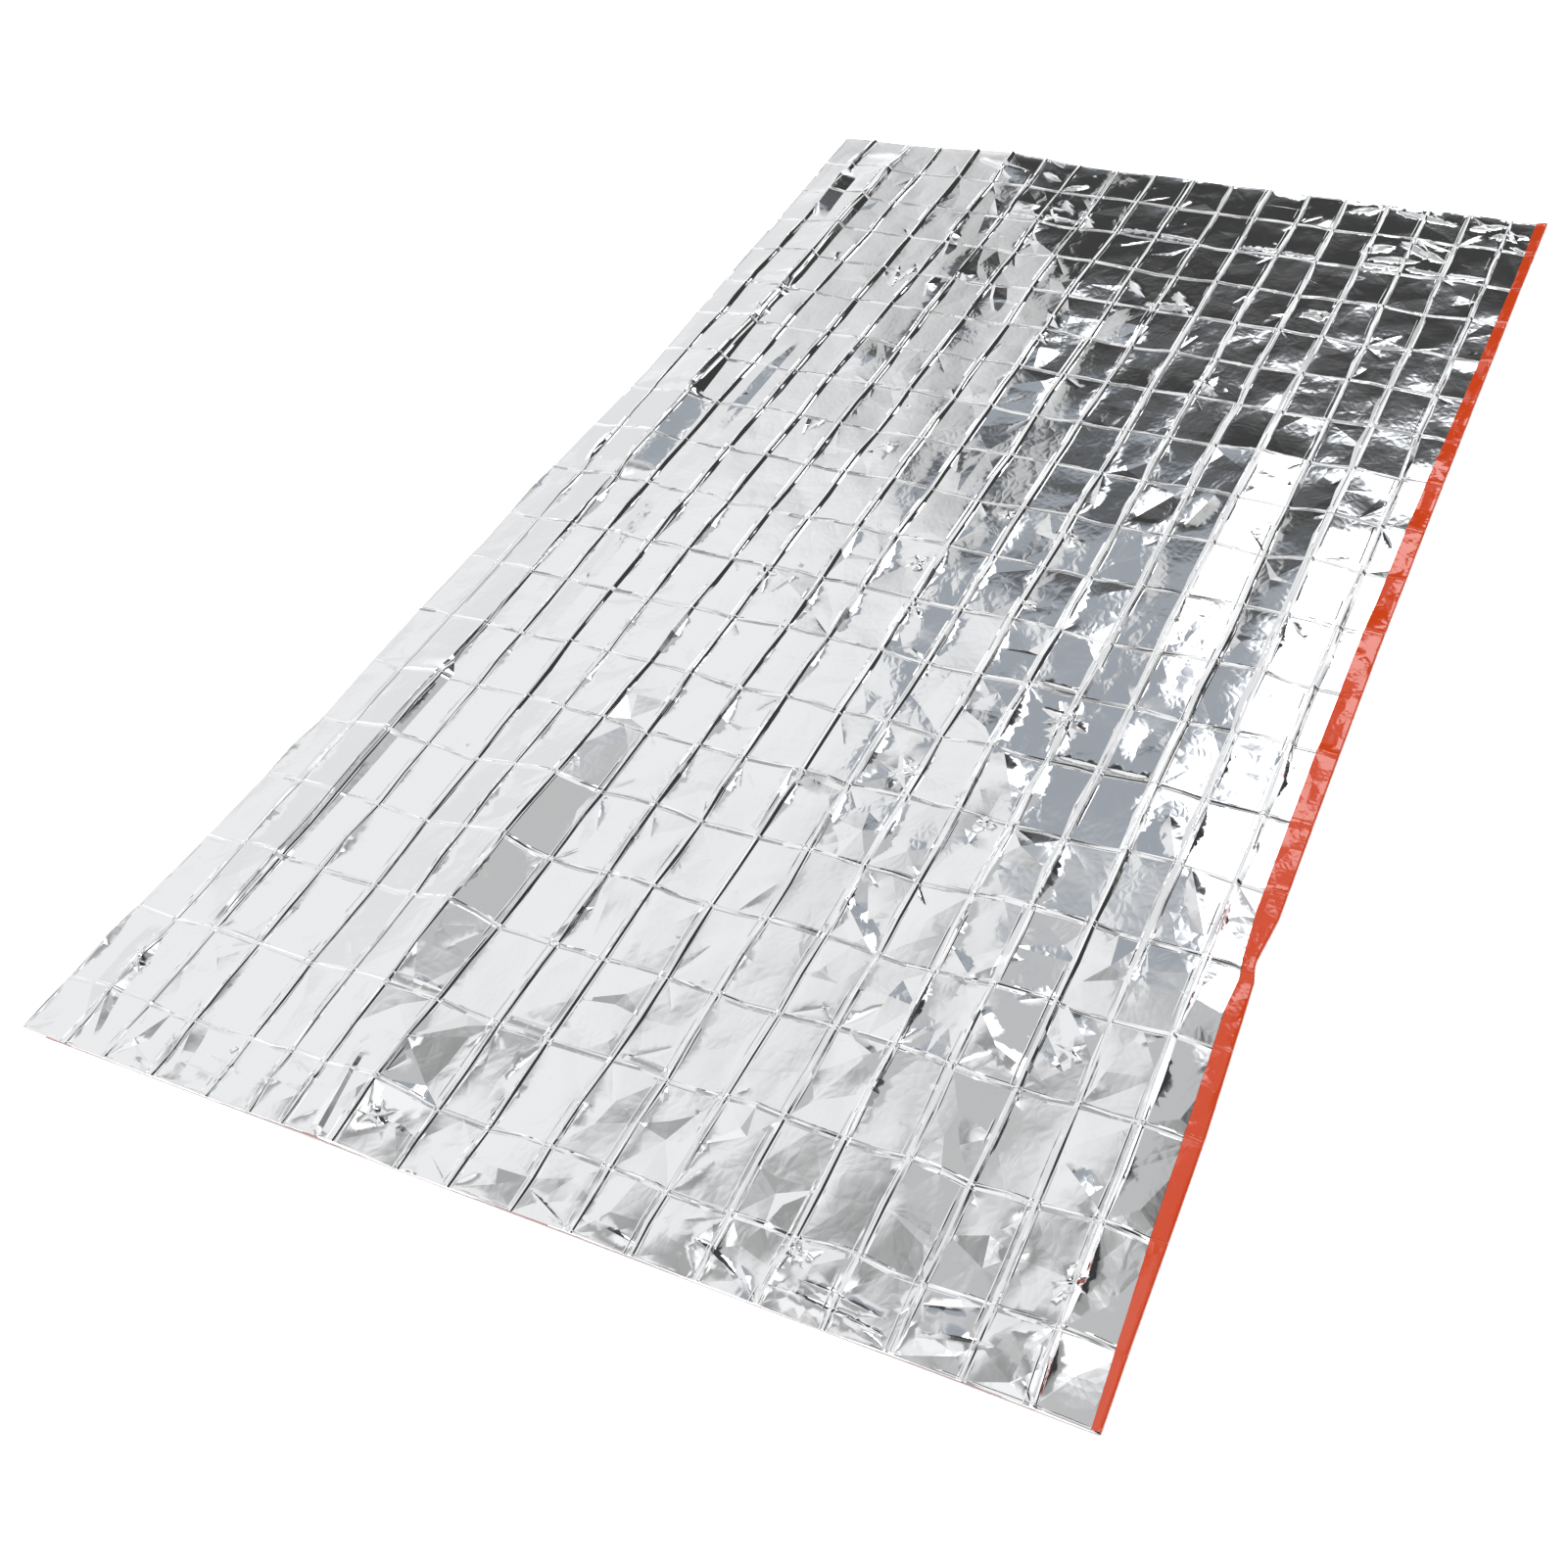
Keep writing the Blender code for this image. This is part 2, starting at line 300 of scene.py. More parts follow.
# How crumpled the film is: 1 all over, and more or less round these places.
Zone = namedtuple("Zone", "x y across along gain")
ZONES = (
    Zone(60, 1000, 190, 900, -0.6),
    Zone(330, 900, 200, 520, -0.4),
    Zone(800, 300, 300, 300, -0.3),
    Zone(840, 950, 150, 250, -0.5),
    Zone(1000, 60, 300, 60, 0.6),
    Zone(850, 2060, 420, 90, 0.9),
    Zone(1010, 560, 220, 110, -0.5),
    Zone(430, 2030, 90, 60, 1.2),
    Zone(150, 2030, 140, 70, 1.0),
    Zone(800, 1700, 300, 220, 0.4),
    Zone(980, 1430, 200, 200, -0.7),
)

# Peaks: points of the panels that stand up or, below zero, are pushed down. The film runs
# flat from each one to the creases and the peaks round it.
Peak = namedtuple("Peak", "x y rise")
PEAKS = (
    Peak(372, 1462, -4.0),
    Peak(444, 1934, 5.0),
    Peak(442, 2008, -3.0),
    Peak(572, 1835, 2.0),
    Peak(645, 455, 2.4),
    Peak(700, 1440, -3.0),
    Peak(870, 1505, 2.4),
    Peak(832, 1815, 2.2),
    Peak(626, 1955, 1.6),
    Peak(690, 1975, -1.6),
    Peak(752, 1940, 1.7),
    Peak(812, 1990, -1.5),
    Peak(560, 2065, 2.2),
    Peak(1008, 1960, 2.0),
    Peak(948, 1880, -1.5),
    Peak(1010, 1630, 1.8),
    Peak(702, 1540, 2.0),
)

# Long ridges: lines of points from the far end to the near end, with how high the crest is
# there and how far its feet are on both sides.
Rib = namedtuple("Rib", "x y rise left right")
TENT = (
    Rib(121, 36, 0.0, 80, 4), Rib(121, 62, 6.0, 96, 6), Rib(122, 180, 8.6, 100, 7.6),
    Rib(119, 200, 10.8, 100, 11.4), Rib(119, 300, 11.0, 100, 10),
    Rib(118, 480, 12.2, 100, 12), Rib(113, 497, 6.5, 90, 9), Rib(116, 512, 8.6, 94, 16),
    Rib(115, 534, 9.4, 92, 11.5), Rib(114, 564, 9.6, 90, 11.5), Rib(114, 578, 7.0, 90, 17),
    Rib(115, 592, 6.0, 90, 9), Rib(114, 610, 10.0, 90, 10), Rib(115, 700, 10.8, 88, 12),
    Rib(114, 740, 13.0, 86, 15.5), Rib(114, 806, 15.5, 86, 19), Rib(112, 820, 9.0, 84, 44),
    Rib(112, 1000, 8.5, 80, 46), Rib(110, 1026, 4.5, 60, 12), Rib(108, 1080, 2.8, 50, 4),
    Rib(112, 1300, 2.8, 50, 4), Rib(108, 1440, 3.2, 50, 5), Rib(109, 1466, 8.5, 56, 19),
    Rib(107, 1640, 8.5, 56, 19), Rib(106, 1790, 7.5, 52, 16), Rib(102, 1860, 4.5, 44, 9),
    Rib(100, 1916, 0.0, 30, 4),
)
RIBS = (
    TENT,
    (
        Rib(56, 118, 0.6, 8, 8), Rib(57, 148, 8.0, 8, 27), Rib(64, 250, 8.2, 9, 26),
        Rib(86, 296, 0.4, 8, 8),
    ),
    (Rib(52, 45, 0.0, 8, 4), Rib(50, 82, 2.4, 10, 8), Rib(54, 112, 0.2, 8, 4)),
    (
        Rib(57, 935, 0.0, 8, 4), Rib(56, 965, 3.8, 8, 4.2), Rib(59, 1000, 3.8, 8, 4.2),
        Rib(64, 1026, 0.0, 8, 3),
    ),
    (
        Rib(206, 636, 0.0, 10, 4), Rib(192, 720, 2.3, 18, 17), Rib(188, 830, 2.5, 18, 19),
        Rib(196, 905, 0.2, 12, 8),
    ),
    (Rib(187, 1078, 1.8, 12, 12), Rib(185, 1160, 2.2, 12, 15), Rib(187, 1240, 1.8, 12, 13)),
    (Rib(184, 1254, 1.8, 12, 13), Rib(183, 1330, 1.8, 12, 14), Rib(184, 1412, 0.2, 10, 8)),
    (Rib(306, 600, 0.2, 18, 12), Rib(300, 645, 2.2, 20, 34), Rib(297, 692, 1.0, 20, 22)),
    (
        Rib(262, 22, 0.3, 8, 30), Rib(268, 36, 3.6, 8, 50), Rib(300, 50, 4.2, 8, 60),
        Rib(330, 78, 0.4, 8, 40),
    ),
    (
        Rib(364, 110, 0.4, 4, 10), Rib(362, 128, 2.2, 4, 26), Rib(362, 160, 3.6, 4, 46),
        Rib(366, 174, 0.6, 4, 40),
    ),
    (
        Rib(430, 146, 0.3, 4, 30), Rib(430, 158, 3.2, 4, 44), Rib(440, 178, 3.0, 4, 38),
        Rib(450, 188, 0.4, 4, 20),
    ),
    (
        Rib(427, 202, 1.6, 4, 24), Rib(427, 212, 3.6, 4, 44), Rib(429, 240, 3.4, 4, 42),
        Rib(444, 266, 0.8, 4, 22),
    ),
    (Rib(330, 396, 0.2, 5, 10), Rib(328, 430, 2.3, 5, 16), Rib(338, 466, 0.0, 5, 5)),
    (Rib(427, 402, 1.2, 5, 18), Rib(436, 440, 2.8, 5, 22), Rib(452, 474, 0.2, 5, 6)),
    (Rib(306, 258, 0.4, 4, 5), Rib(307, 274, 2.4, 4, 15), Rib(310, 288, 0.2, 4, 5)),
    (Rib(311, 300, 1.6, 4, 14), Rib(314, 316, 1.8, 4, 14), Rib(318, 344, 0.0, 3, 4)),
    (
        Rib(363, 300, 0.6, 3, 5), Rib(361, 345, 2.0, 4, 15), Rib(360, 376, 3.2, 4, 26),
        Rib(359, 394, 4.6, 4, 38),
    ),
    (Rib(664, 404, 1.0, 44, 8), Rib(670, 450, 3.2, 48, 9), Rib(664, 500, 1.2, 44, 8)),
    (
        Rib(50, 1926, 0.2, 12, 6), Rib(56, 1970, 5.0, 24, 14), Rib(60, 2030, 4.4, 24, 13),
        Rib(82, 2082, 0.2, 16, 4),
    ),
    (Rib(172, 2008, 0.4, 14, 10), Rib(176, 2040, 3.0, 16, 16), Rib(190, 2088, 0.4, 12, 10)),
    (Rib(364, 2002, 2.0, 9, 4), Rib(370, 2050, 2.8, 9, 4), Rib(374, 2097, 3.6, 9, 5)),
    (Rib(410, 1588, 0.2, 16, 10), Rib(408, 1620, 2.0, 18, 18), Rib(416, 1668, 0.2, 12, 8)),
    (Rib(548, 500, 0.4, 20, 18), Rib(552, 560, 2.2, 24, 30), Rib(560, 604, 0.4, 20, 12)),
)

# Single folds: a flat-sided ridge (or a trough, where the rise is below zero) between two
# points, with how far its feet are on the left and on the right of the way from the first
# point to the second, and the share of it that each end takes.
Fold = namedtuple("Fold", "x0 y0 x1 y1 left right rise taper")
FOLDS = (
    Fold(368, 181, 424, 186, 3, 2, 1.0, 0.1),
    Fold(424, 180, 488, 183, 2, 3, 1.2, 0.1),
    Fold(552, 186, 612, 182, 3, 3, 1.1, 0.1),
    Fold(614, 184, 676, 188, 3, 2, 1.0, 0.1),
    Fold(742, 190, 800, 184, 2, 3, 1.2, 0.1),
    Fold(804, 186, 858, 190, 3, 3, 1.1, 0.1),
    Fold(925, 188, 980, 186, 3, 2, 1.2, 0.1),
    Fold(986, 184, 1042, 190, 3, 3, 1.2, 0.1),
    Fold(1046, 190, 1102, 186, 3, 3, 1.1, 0.1),
    Fold(796, 1241, 846, 1243, 3, 3, 1.2, 0.1),
    Fold(856, 1356, 908, 1357, 3, 3, 1.4, 0.1),
    Fold(914, 1357, 966, 1355, 3, 3, 1.4, 0.1),
    Fold(334, 1904, 396, 1901, 3, 3, 1.2, 0.1),
    Fold(470, 1903, 526, 1902, 3, 3, 0.9, 0.1),
    Fold(600, 1901, 656, 1904, 3, 3, 1.0, 0.1),
    Fold(874, 354, 922, 343, 8, 9, 3.2, 0.35),
    Fold(880, 336, 912, 362, 6, 6, 2.2, 0.4),
    Fold(780, 566, 824, 598, 8, 9, 2.8, 0.35),
    Fold(790, 602, 812, 548, 7, 7, 2.4, 0.4),
    Fold(912, 152, 962, 126, 8, 9, 3.0, 0.35),
    Fold(962, 108, 1042, 152, 9, 10, 3.4, 0.3),
    Fold(928, 172, 1004, 158, 6, 7, 2.2, 0.35),
    Fold(985, 96, 1010, 136, 7, 7, 2.6, 0.4),
    Fold(652, 392, 730, 381, 9, 10, 2.8, 0.35),
    Fold(690, 340, 724, 402, 8, 8, 2.6, 0.35),
    Fold(1050, 42, 1104, 20, 8, 8, 2.6, 0.35),
    Fold(1082, 62, 1138, 40, 8, 8, 2.6, 0.35),
    Fold(1100, 22, 1126, 66, 7, 7, 2.2, 0.4),
    Fold(936, 12, 1034, 38, 6, 8, 2.6, 0.3),
    Fold(868, 34, 918, 8, 6, 7, 2.2, 0.35),
    Fold(372, 42, 412, 60, 8, 9, 2.4, 0.35),
    Fold(420, 88, 462, 60, 8, 9, 2.4, 0.35),
    Fold(330, 150, 352, 196, 6, 8, 1.8, 0.4),
    Fold(440, 118, 470, 168, 7, 9, 2.2, 0.35),
    Fold(380, 172, 412, 152, 6, 7, 1.8, 0.35),
    Fold(484, 160, 512, 196, 7, 8, 2.4, 0.35),
    Fold(612, 330, 650, 372, 6, 8, 2.0, 0.35),
    Fold(530, 460, 562, 500, 7, 9, 2.2, 0.35),
    Fold(720, 1632, 784, 1700, 18, 15, 2.2, 0.3),
    Fold(735, 1600, 760, 1660, 14, 12, -1.0, 0.35),
    Fold(985, 1688, 1032, 1748, 18, 16, 2.6, 0.3),
    Fold(966, 1712, 1010, 1768, 16, 14, -1.6, 0.35),
    Fold(880, 1692, 928, 1648, 14, 12, 1.8, 0.35),
    Fold(900, 1716, 952, 1778, 14, 16, 2.0, 0.35),
    Fold(936, 1704, 978, 1680, 10, 9, 1.4, 0.35),
    Fold(850, 1656, 898, 1704, 12, 14, 1.6, 0.35),
    Fold(938, 1762, 994, 1786, 12, 11, 1.4, 0.35),
    Fold(1040, 1862, 1094, 1908, 18, 14, 2.6, 0.3),
    Fold(800, 1794, 852, 1852, 16, 20, 2.2, 0.35),
    Fold(588, 1474, 654, 1490, 12, 20, -2.8, 0.3),
    Fold(150, 370, 158, 404, 3, 4, 1.0, 0.4),
    Fold(262, 384, 276, 452, 4, 5, 1.4, 0.4),
    Fold(291, 380, 277, 432, 4, 4, 1.2, 0.4),
    Fold(304, 812, 316, 864, 5, 5, 1.4, 0.4),
    Fold(332, 810, 318, 852, 4, 4, 1.2, 0.4),
    Fold(400, 1150, 418, 1204, 5, 4, 1.4, 0.4),
    Fold(442, 1150, 424, 1196, 4, 4, 1.2, 0.4),
    Fold(840, 2079, 964, 2086, 5, 6, 2.8, 0.3),
    Fold(868, 2064, 956, 2071, 4, 5, 2.2, 0.3),
    Fold(760, 2060, 820, 2082, 6, 6, 2.4, 0.35),
    Fold(660, 2082, 722, 2088, 6, 7, 2.4, 0.35),
    Fold(985, 2078, 1052, 2060, 6, 7, 2.4, 0.35),
    Fold(204, 2056, 264, 2066, 4, 5, 1.6, 0.35),
    Fold(190, 2074, 252, 2080, 4, 5, 1.6, 0.35),
    Fold(300, 2034, 352, 2050, 5, 6, 1.8, 0.35),
    Fold(480, 1680, 500, 1780, 9, 12, 1.2, 0.4),
    Fold(455, 1795, 480, 1740, 9, 9, 1.2, 0.4),
    Fold(626, 1690, 650, 1640, 9, 10, 1.2, 0.4),
    Fold(735, 820, 748, 900, 6, 8, 1.8, 0.35),
    Fold(845, 818, 797, 912, 30, 30, -1.6, 0.2),
    Fold(884, 826, 864, 908, 22, 18, -1.5, 0.2),
    Fold(588, 1470, 592, 1580, 10, 2, 2.2, 0.5),
    Fold(464, 1470, 466, 1572, 9, 2, 1.8, 0.5),
    Fold(465, 1580, 463, 1684, 8, 2, 1.5, 0.5),
    Fold(800, 1368, 836, 1440, 14, 16, 1.8, 0.35),
    Fold(1000, 1400, 1026, 1466, 13, 12, 1.7, 0.35),
    Fold(1044, 1470, 1084, 1560, 12, 13, 2.2, 0.35),
)

# Knots: places where that many straight folds, ridges and troughs in turn, run through one
# point.
Knot = namedtuple("Knot", "x y reach folds turn rise")
KNOTS = (
    Knot(848, 1295, 40, 4, 20, 3.2),
    Knot(400, 1160, 20, 3, 60, 2.0),
    Knot(580, 1076, 28, 4, 10, 2.6),
    Knot(610, 1168, 24, 3, 40, 2.4),
    Knot(650, 946, 18, 3, 0, 2.0),
    Knot(735, 1114, 18, 3, 30, 2.0),
    Knot(740, 970, 26, 3, 75, 2.2),
    Knot(706, 1432, 38, 4, 50, 2.6),
    Knot(820, 1482, 22, 3, 0, 2.6),
    Knot(1092, 1984, 28, 3, 15, 3.0),
    Knot(420, 2058, 26, 3, 25, 2.6),
    Knot(65, 1985, 26, 3, 35, 2.2),
    Knot(1010, 1745, 30, 3, 70, 1.6),
    Knot(862, 2040, 26, 3, 10, 2.2),
    Knot(110, 572, 14, 3, 20, 2.0),
    Knot(545, 530, 20, 3, 50, 2.2),
    Knot(440, 850, 26, 3, 80, 2.0),
)

# In a knot, how far each fold turns from its even place, in degrees, how far its ends are
# and how wide it is in parts of the reach, a trough's depth in parts of a ridge's rise,
# and the share of an end.
KNOT_TURN = 16
KNOT_ENDS = 0.4, 1.0
KNOT_WIDTHS = 0.14, 0.32
KNOT_TROUGH = 0.7
KNOT_TAPER = 0.45

# Dents: soft hollows, or bulges where the rise is above zero.
Dent = namedtuple("Dent", "x y across along turn rise")
DENTS = (
    Dent(430, 2062, 16, 22, 20, -3.0),
    Dent(822, 1492, 16, 22, 0, -2.8),
    Dent(556, 1085, 20, 30, 10, -2.2),
    Dent(625, 1185, 22, 34, -15, 2.0),
    Dent(700, 1400, 16, 26, 30, 2.2),
    Dent(945, 1290, 20, 36, 5, -2.0),
    Dent(815, 1410, 18, 30, -10, 2.2),
    Dent(438, 860, 12, 26, 15, 1.8),
    Dent(645, 1740, 20, 30, 25, 1.8),
    Dent(496, 1720, 18, 34, -20, 1.8),
)

# Where the film's own thickness is orange along the near edge. A point of the rim lies on
# that edge if it is this near to the sheet's end.
Peek = namedtuple("Peek", "start end")
PEEKS = (Peek(40, 75), Peek(365, 385), Peek(580, 640), Peek(1037, 1080))
NEAR_EDGE = 1.0


# What the settings of one kind have in common.
LENGTH_SETTING = {"subtype": "DISTANCE", "unit": "LENGTH"}
SHARE_SETTING = {"min": 0.0, "max": 1.0, "subtype": "FACTOR"}
COLOUR_SETTING = {"min": 0.0, "max": 1.0, "subtype": "COLOR"}


class FilmSettings(bpy.types.PropertyGroup):
    """Sizes and colours of the film."""

    thickness: FloatProperty(
        name="Thickness",
        description="How thick the film is modelled",
        default=0.5 * MM,
        min=0.1 * MM,
        **LENGTH_SETTING,
    )
    bend_radius: FloatProperty(
        name="Bend radius",
        description="Outer radius of the turned edge",
        default=2.4 * MM,
        min=1.0 * MM,
        **LENGTH_SETTING,
    )
    unevenness: FloatProperty(
        name="Unevenness",
        description="Scale of the random part of every crease and cell",
        default=1.0,
        min=0.0,
        max=2.0,
        subtype="FACTOR",
    )
    seed: IntProperty(name="Seed", description="Seed of the random part", default=12, min=0)
    silver: FloatVectorProperty(
        name="Silver",
        description="Colour of the metallised face",
        default=(0.83, 0.835, 0.845),
        **COLOUR_SETTING,
    )
    silver_roughness: FloatProperty(
        name="Silver roughness",
        description="How blurred the metallised face mirrors",
        default=0.07,
        **SHARE_SETTING,
    )
    orange: FloatVectorProperty(
        name="Orange",
        description="Colour of the lacquered face",
        default=(0.27, 0.024, 0.003),
        **COLOUR_SETTING,
    )
    orange_roughness: FloatProperty(
        name="Orange roughness",
        description="How blurred the lacquered face mirrors",
        default=0.07,
        **SHARE_SETTING,
    )


class StageSettings(bpy.types.PropertyGroup):
    """Sizes and strengths of the studio."""

    floor_size: FloatProperty(
        name="Floor size",
        description="Side of the square floor",
        default=14.0,
        min=3.0,
        **LENGTH_SETTING,
    )
    floor_colour: FloatVectorProperty(
        name="Floor colour",
        description="Colour of the paper floor",
        default=(0.93, 0.93, 0.93),
        **COLOUR_SETTING,
    )
    fill: FloatProperty(
        name="Fill light",
        description="Power of the overhead light that falls on the floor",
        default=540.0,
        min=0.0,
        unit="POWER",
    )
    surroundings: FloatProperty(
        name="Surroundings",
        description="Brightness of the studio that the film mirrors",
        default=1.0,
        min=0.0,
        soft_max=3.0,
    )
    lens: FloatProperty(
        name="Lens",
        description="Focal length of the camera",
        default=43.51,
        min=10.0,
        unit="CAMERA",
    )


class Sock:
    """A node socket that takes part in Python expressions."""

    def __init__(self, tree, socket):
        self.tree = tree
        self.socket = socket

    def math(self, operation, *values):
        return self.node("ShaderNodeMath", {"operation": operation}, *values)

    def node(self, kind, settings, *values):
        return add_node(self.tree, kind, settings, *values)

    def __add__(self, other):
        return self.math("ADD", self, other)

    def __radd__(self, other):
        return self.math("ADD", other, self)

    def __sub__(self, other):
        return self.math("SUBTRACT", self, other)

    def __rsub__(self, other):
        return self.math("SUBTRACT", other, self)

    def __mul__(self, other):
        return self.math("MULTIPLY", self, other)

    def __rmul__(self, other):
        return self.math("MULTIPLY", other, self)

    def __truediv__(self, other):
        return self.math("DIVIDE", self, other)

    def __rtruediv__(self, other):
        return self.math("DIVIDE", other, self)

    def __abs__(self):
        return self.math("ABSOLUTE", self)

    def step(self, low, high):
        """0 below low, 1 above high, and a smooth climb between."""
        ramp = {"interpolation_type": "SMOOTHSTEP"}
        return self.node("ShaderNodeMapRange", ramp, self, low, high, 0.0, 1.0)


def add_node(tree, kind, settings, *values, output=0):
    """A new node: its type, its settings, then its inputs in order, where None keeps one."""
    node = tree.nodes.new(kind)
    for name, value in settings.items():
        setattr(node, name, value)
    for socket, value in zip([s for s in node.inputs if s.enabled], values):
        put(tree, socket, value)
    return Sock(tree, [s for s in node.outputs if s.enabled][output])


def put(tree, socket, value):
    if isinstance(value, Sock):
        tree.links.new(value.socket, socket)
    elif value is not None:
        socket.default_value = value


def grid_shape(size):
    """How many squares of a size cover the sheet across and along, with some to spare."""
    return int(WIDTH / size) + SPARE_SQUARES, int(LENGTH / size) + SPARE_SQUARES


def soft_noise(x, y, size, rng):
    """Smooth random values from -1 to 1 that change over the given size."""
    columns, rows = grid_shape(size)
    lattice = rng.uniform(-1, 1, (rows, columns))
    i = np.clip((x / size).astype(int), 0, columns - 2)
    j = np.clip((y / size).astype(int), 0, rows - 2)
    u = x / size - i
    v = y / size - j
    u = u * u * (3 - 2 * u)
    v = v * v * (3 - 2 * v)
    far = lattice[j, i] * (1 - u) + lattice[j, i + 1] * u
    near = lattice[j + 1, i] * (1 - u) + lattice[j + 1, i + 1] * u
    return far * (1 - v) + near * v


def dense(points, step):
    """The points of a line, with more between them so that none are further apart."""
    points = np.asarray(points, dtype=float)
    out = [points[:1]]
    for start, end in zip(points[:-1], points[1:]):
        count = max(int(np.ceil(np.hypot(*(end - start)) / step)), 1)
        share = np.arange(1, count + 1)[:, None] / count
        out.append(start * (1 - share) + end * share)
    return np.concatenate(out)


def triangulate(outline, lines, loose):
    """Plan triangles inside the outline that keep every line as edges.

    Gives the points, the triangles, the given points that each point stands for, and every
    edge that lies on a line with the lowest of its lines' numbers.
    """
    edges = []
    owners = []
    first = len(outline)
    for number, line in enumerate(lines):
        edges += [(i, i + 1) for i in range(first, first + len(line) - 1)]
        owners += [number] * (len(line) - 1)
        first += len(line)
    points = [Vector(p) for p in np.concatenate([outline, *lines, loose]).tolist()]
    face = list(range(len(outline)))
    result = delaunay_2d_cdt(points, edges, [face], 0, NEARNESS, True)
    points, sides, triangles, point_origins, edge_origins, face_origins = result
    triangles = [triangle for triangle, origin in zip(triangles, face_origins) if origin]
    used, triangles = np.unique(np.array(triangles), return_inverse=True)
    number = np.full(len(points), -1)
    number[used] = np.arange(len(used))
    on_lines = []
    for side, origins in zip(sides, edge_origins):
        lines_there = [owners[origin] for origin in origins if origin < len(owners)]
        if lines_there and min(number[list(side)]) >= 0:
            on_lines.append((*number[list(side)], min(lines_there)))
    points = np.array([tuple(points[i]) for i in used])
    origins = [point_origins[i] for i in used]
    return points, triangles.reshape(-1, 3), origins, np.array(on_lines)


def outer_loop(triangles):
    """The point numbers round the outside of the triangles, in their own direction."""
    sides = {pair for t in triangles.tolist() for pair in zip(t, t[1:] + t[:1])}
    following = {start: end for start, end in sides if (end, start) not in sides}
    loop = [min(following)]
    while following[loop[-1]] != loop[0]:
        loop.append(following[loop[-1]])
    return np.array(loop)


class Sheet:
    """The laid film, in millimetres in the tables' own directions."""

    def __init__(self, settings):
        self.settings = settings
        self.rng = np.random.default_rng(settings.seed)
        self.random = settings.unevenness
        self.place_outline()
        self.place_crossings()
        self.size_ridges()
        self.build_panels()
        self.folds = FOLDS + knot_folds(self.rng) + self.random_folds()
        self.dents = DENTS + self.random_dents()

    def place_outline(self):
        """The left edge and the line where the turned edge starts to bend, as tables."""
        stations = np.array([entry.from_far for entry in OUTLINE])
        self.outline_y = stations * LENGTH
        self.left_x = np.array([entry.left_inset for entry in OUTLINE])
        self.fold_x = WIDTH - np.array([entry.fold_inset for entry in OUTLINE])
        self.bend_x = self.fold_x - self.settings.bend_radius / MM

    def place_crossings(self):
        """Where the lengthwise and the crosswise creases meet, by row and column."""
        base = np.array([row.left for row in ROWS], dtype=float)
        skew = np.array([row.right for row in ROWS]) - base
        columns = len(CREASES) + 2
        y = base[:, None] + skew[:, None] * np.linspace(0, 1, columns)
        x = np.empty_like(y)
        x[:, 0] = np.interp(base, self.outline_y, self.left_x)
        x[:, -1] = np.interp(y[:, -1], self.outline_y, self.bend_x)
        for column, crease in enumerate(CREASES, start=1):
            places = (crease.far, crease.middle, crease.near)
            x[:, column] = np.interp(base / LENGTH, POSITION_STATIONS, places)
        across = self.rng.uniform(-1, 1, (len(ROWS), columns - 2))
        along = self.rng.uniform(-1, 1, (len(ROWS) - 2, columns - 2))
        x[:, 1:-1] += across * STRAY_ACROSS * self.random
        y[1:-1, 1:-1] += along * STRAY_ALONG * self.random
        self.cross_x = x
        self.cross_y = y
        crossings = np.stack((x, y), axis=-1)
        self.columns = [self.bent(crossings[:, i], 0, BEND_ACROSS) for i in range(1, columns - 1)]
        edges = [np.stack((edge, self.outline_y), axis=-1) for edge in (self.left_x, self.bend_x)]
        self.columns = [edges[0], *self.columns, edges[1]]
        self.rows = [self.bent(crossings[j], 1, BEND_ALONG) for j in range(1, len(ROWS) - 1)]
        self.rows = [crossings[0], *self.rows, crossings[-1]]

    def bent(self, points, axis, stray):
        """The line through the points with a slight bend half way between each two."""
        middles = (points[:-1] + points[1:]) / 2
        middles[:, axis] += self.rng.uniform(-1, 1, len(middles)) * stray * self.random
        line = np.empty((2 * len(points) - 1, 2))
        line[::2] = points
        line[1::2] = middles
        return line

    def size_ridges(self):
        """How high and how wide each crease's own ridge is at every crossing."""
        rows, columns = self.cross_x.shape
        self.steps = np.arange(2 * rows - 1) / 2
        share = np.interp(self.steps, np.arange(rows), self.cross_y[:, 0]) / LENGTH
        self.ridge = np.zeros((len(self.steps), columns))
        self.left_width = np.ones_like(self.ridge)
        self.right_width = np.ones_like(self.ridge)
        for column, crease in enumerate(CREASES, start=1):
            self.ridge[:, column] = np.interp(share, RIDGE_STATIONS, crease.ridges)
            part = self.ridge[:, column] / max(crease.ridges)
            self.left_width[:, column] = crease.left_width * part
            self.right_width[:, column] = crease.right_width * part
        size = self.rng.uniform(*UNEVEN_CROSSING, self.ridge.shape)
        size[1::2] = self.rng.uniform(*UNEVEN_MIDDLE, size[1::2].shape)
        for table in (self.ridge, self.left_width, self.right_width):
            uneven = size * self.rng.uniform(*UNEVEN_PART, size.shape)
            table *= 1 + (uneven - 1) * self.random
        row_ridges = np.array([row.ridge for row in ROWS])
        uneven = self.rng.uniform(*UNEVEN_ROW_RIDGE, (rows, columns))
        self.row_ridge = row_ridges[:, None] * (1 + (uneven - 1) * self.random)
        uneven = self.rng.uniform(*UNEVEN_ROW_WIDTH, (rows, columns))
        row_widths = np.array([row.width for row in ROWS])
        self.row_width = row_widths[:, None] * (1 + (uneven - 1) * self.random)
        self.bow = self.rng.uniform(*BOW_SHARES, (rows, columns - 1)) * BOW * self.random
        middle = [(table[1:, 1:] + table[:-1, :-1]) / 2 for table in (self.cross_x, self.cross_y)]
        uneven = self.rng.uniform(-1, 1, middle[0].shape) * self.crumple(*middle)
        self.pillow = uneven * PILLOW * self.random

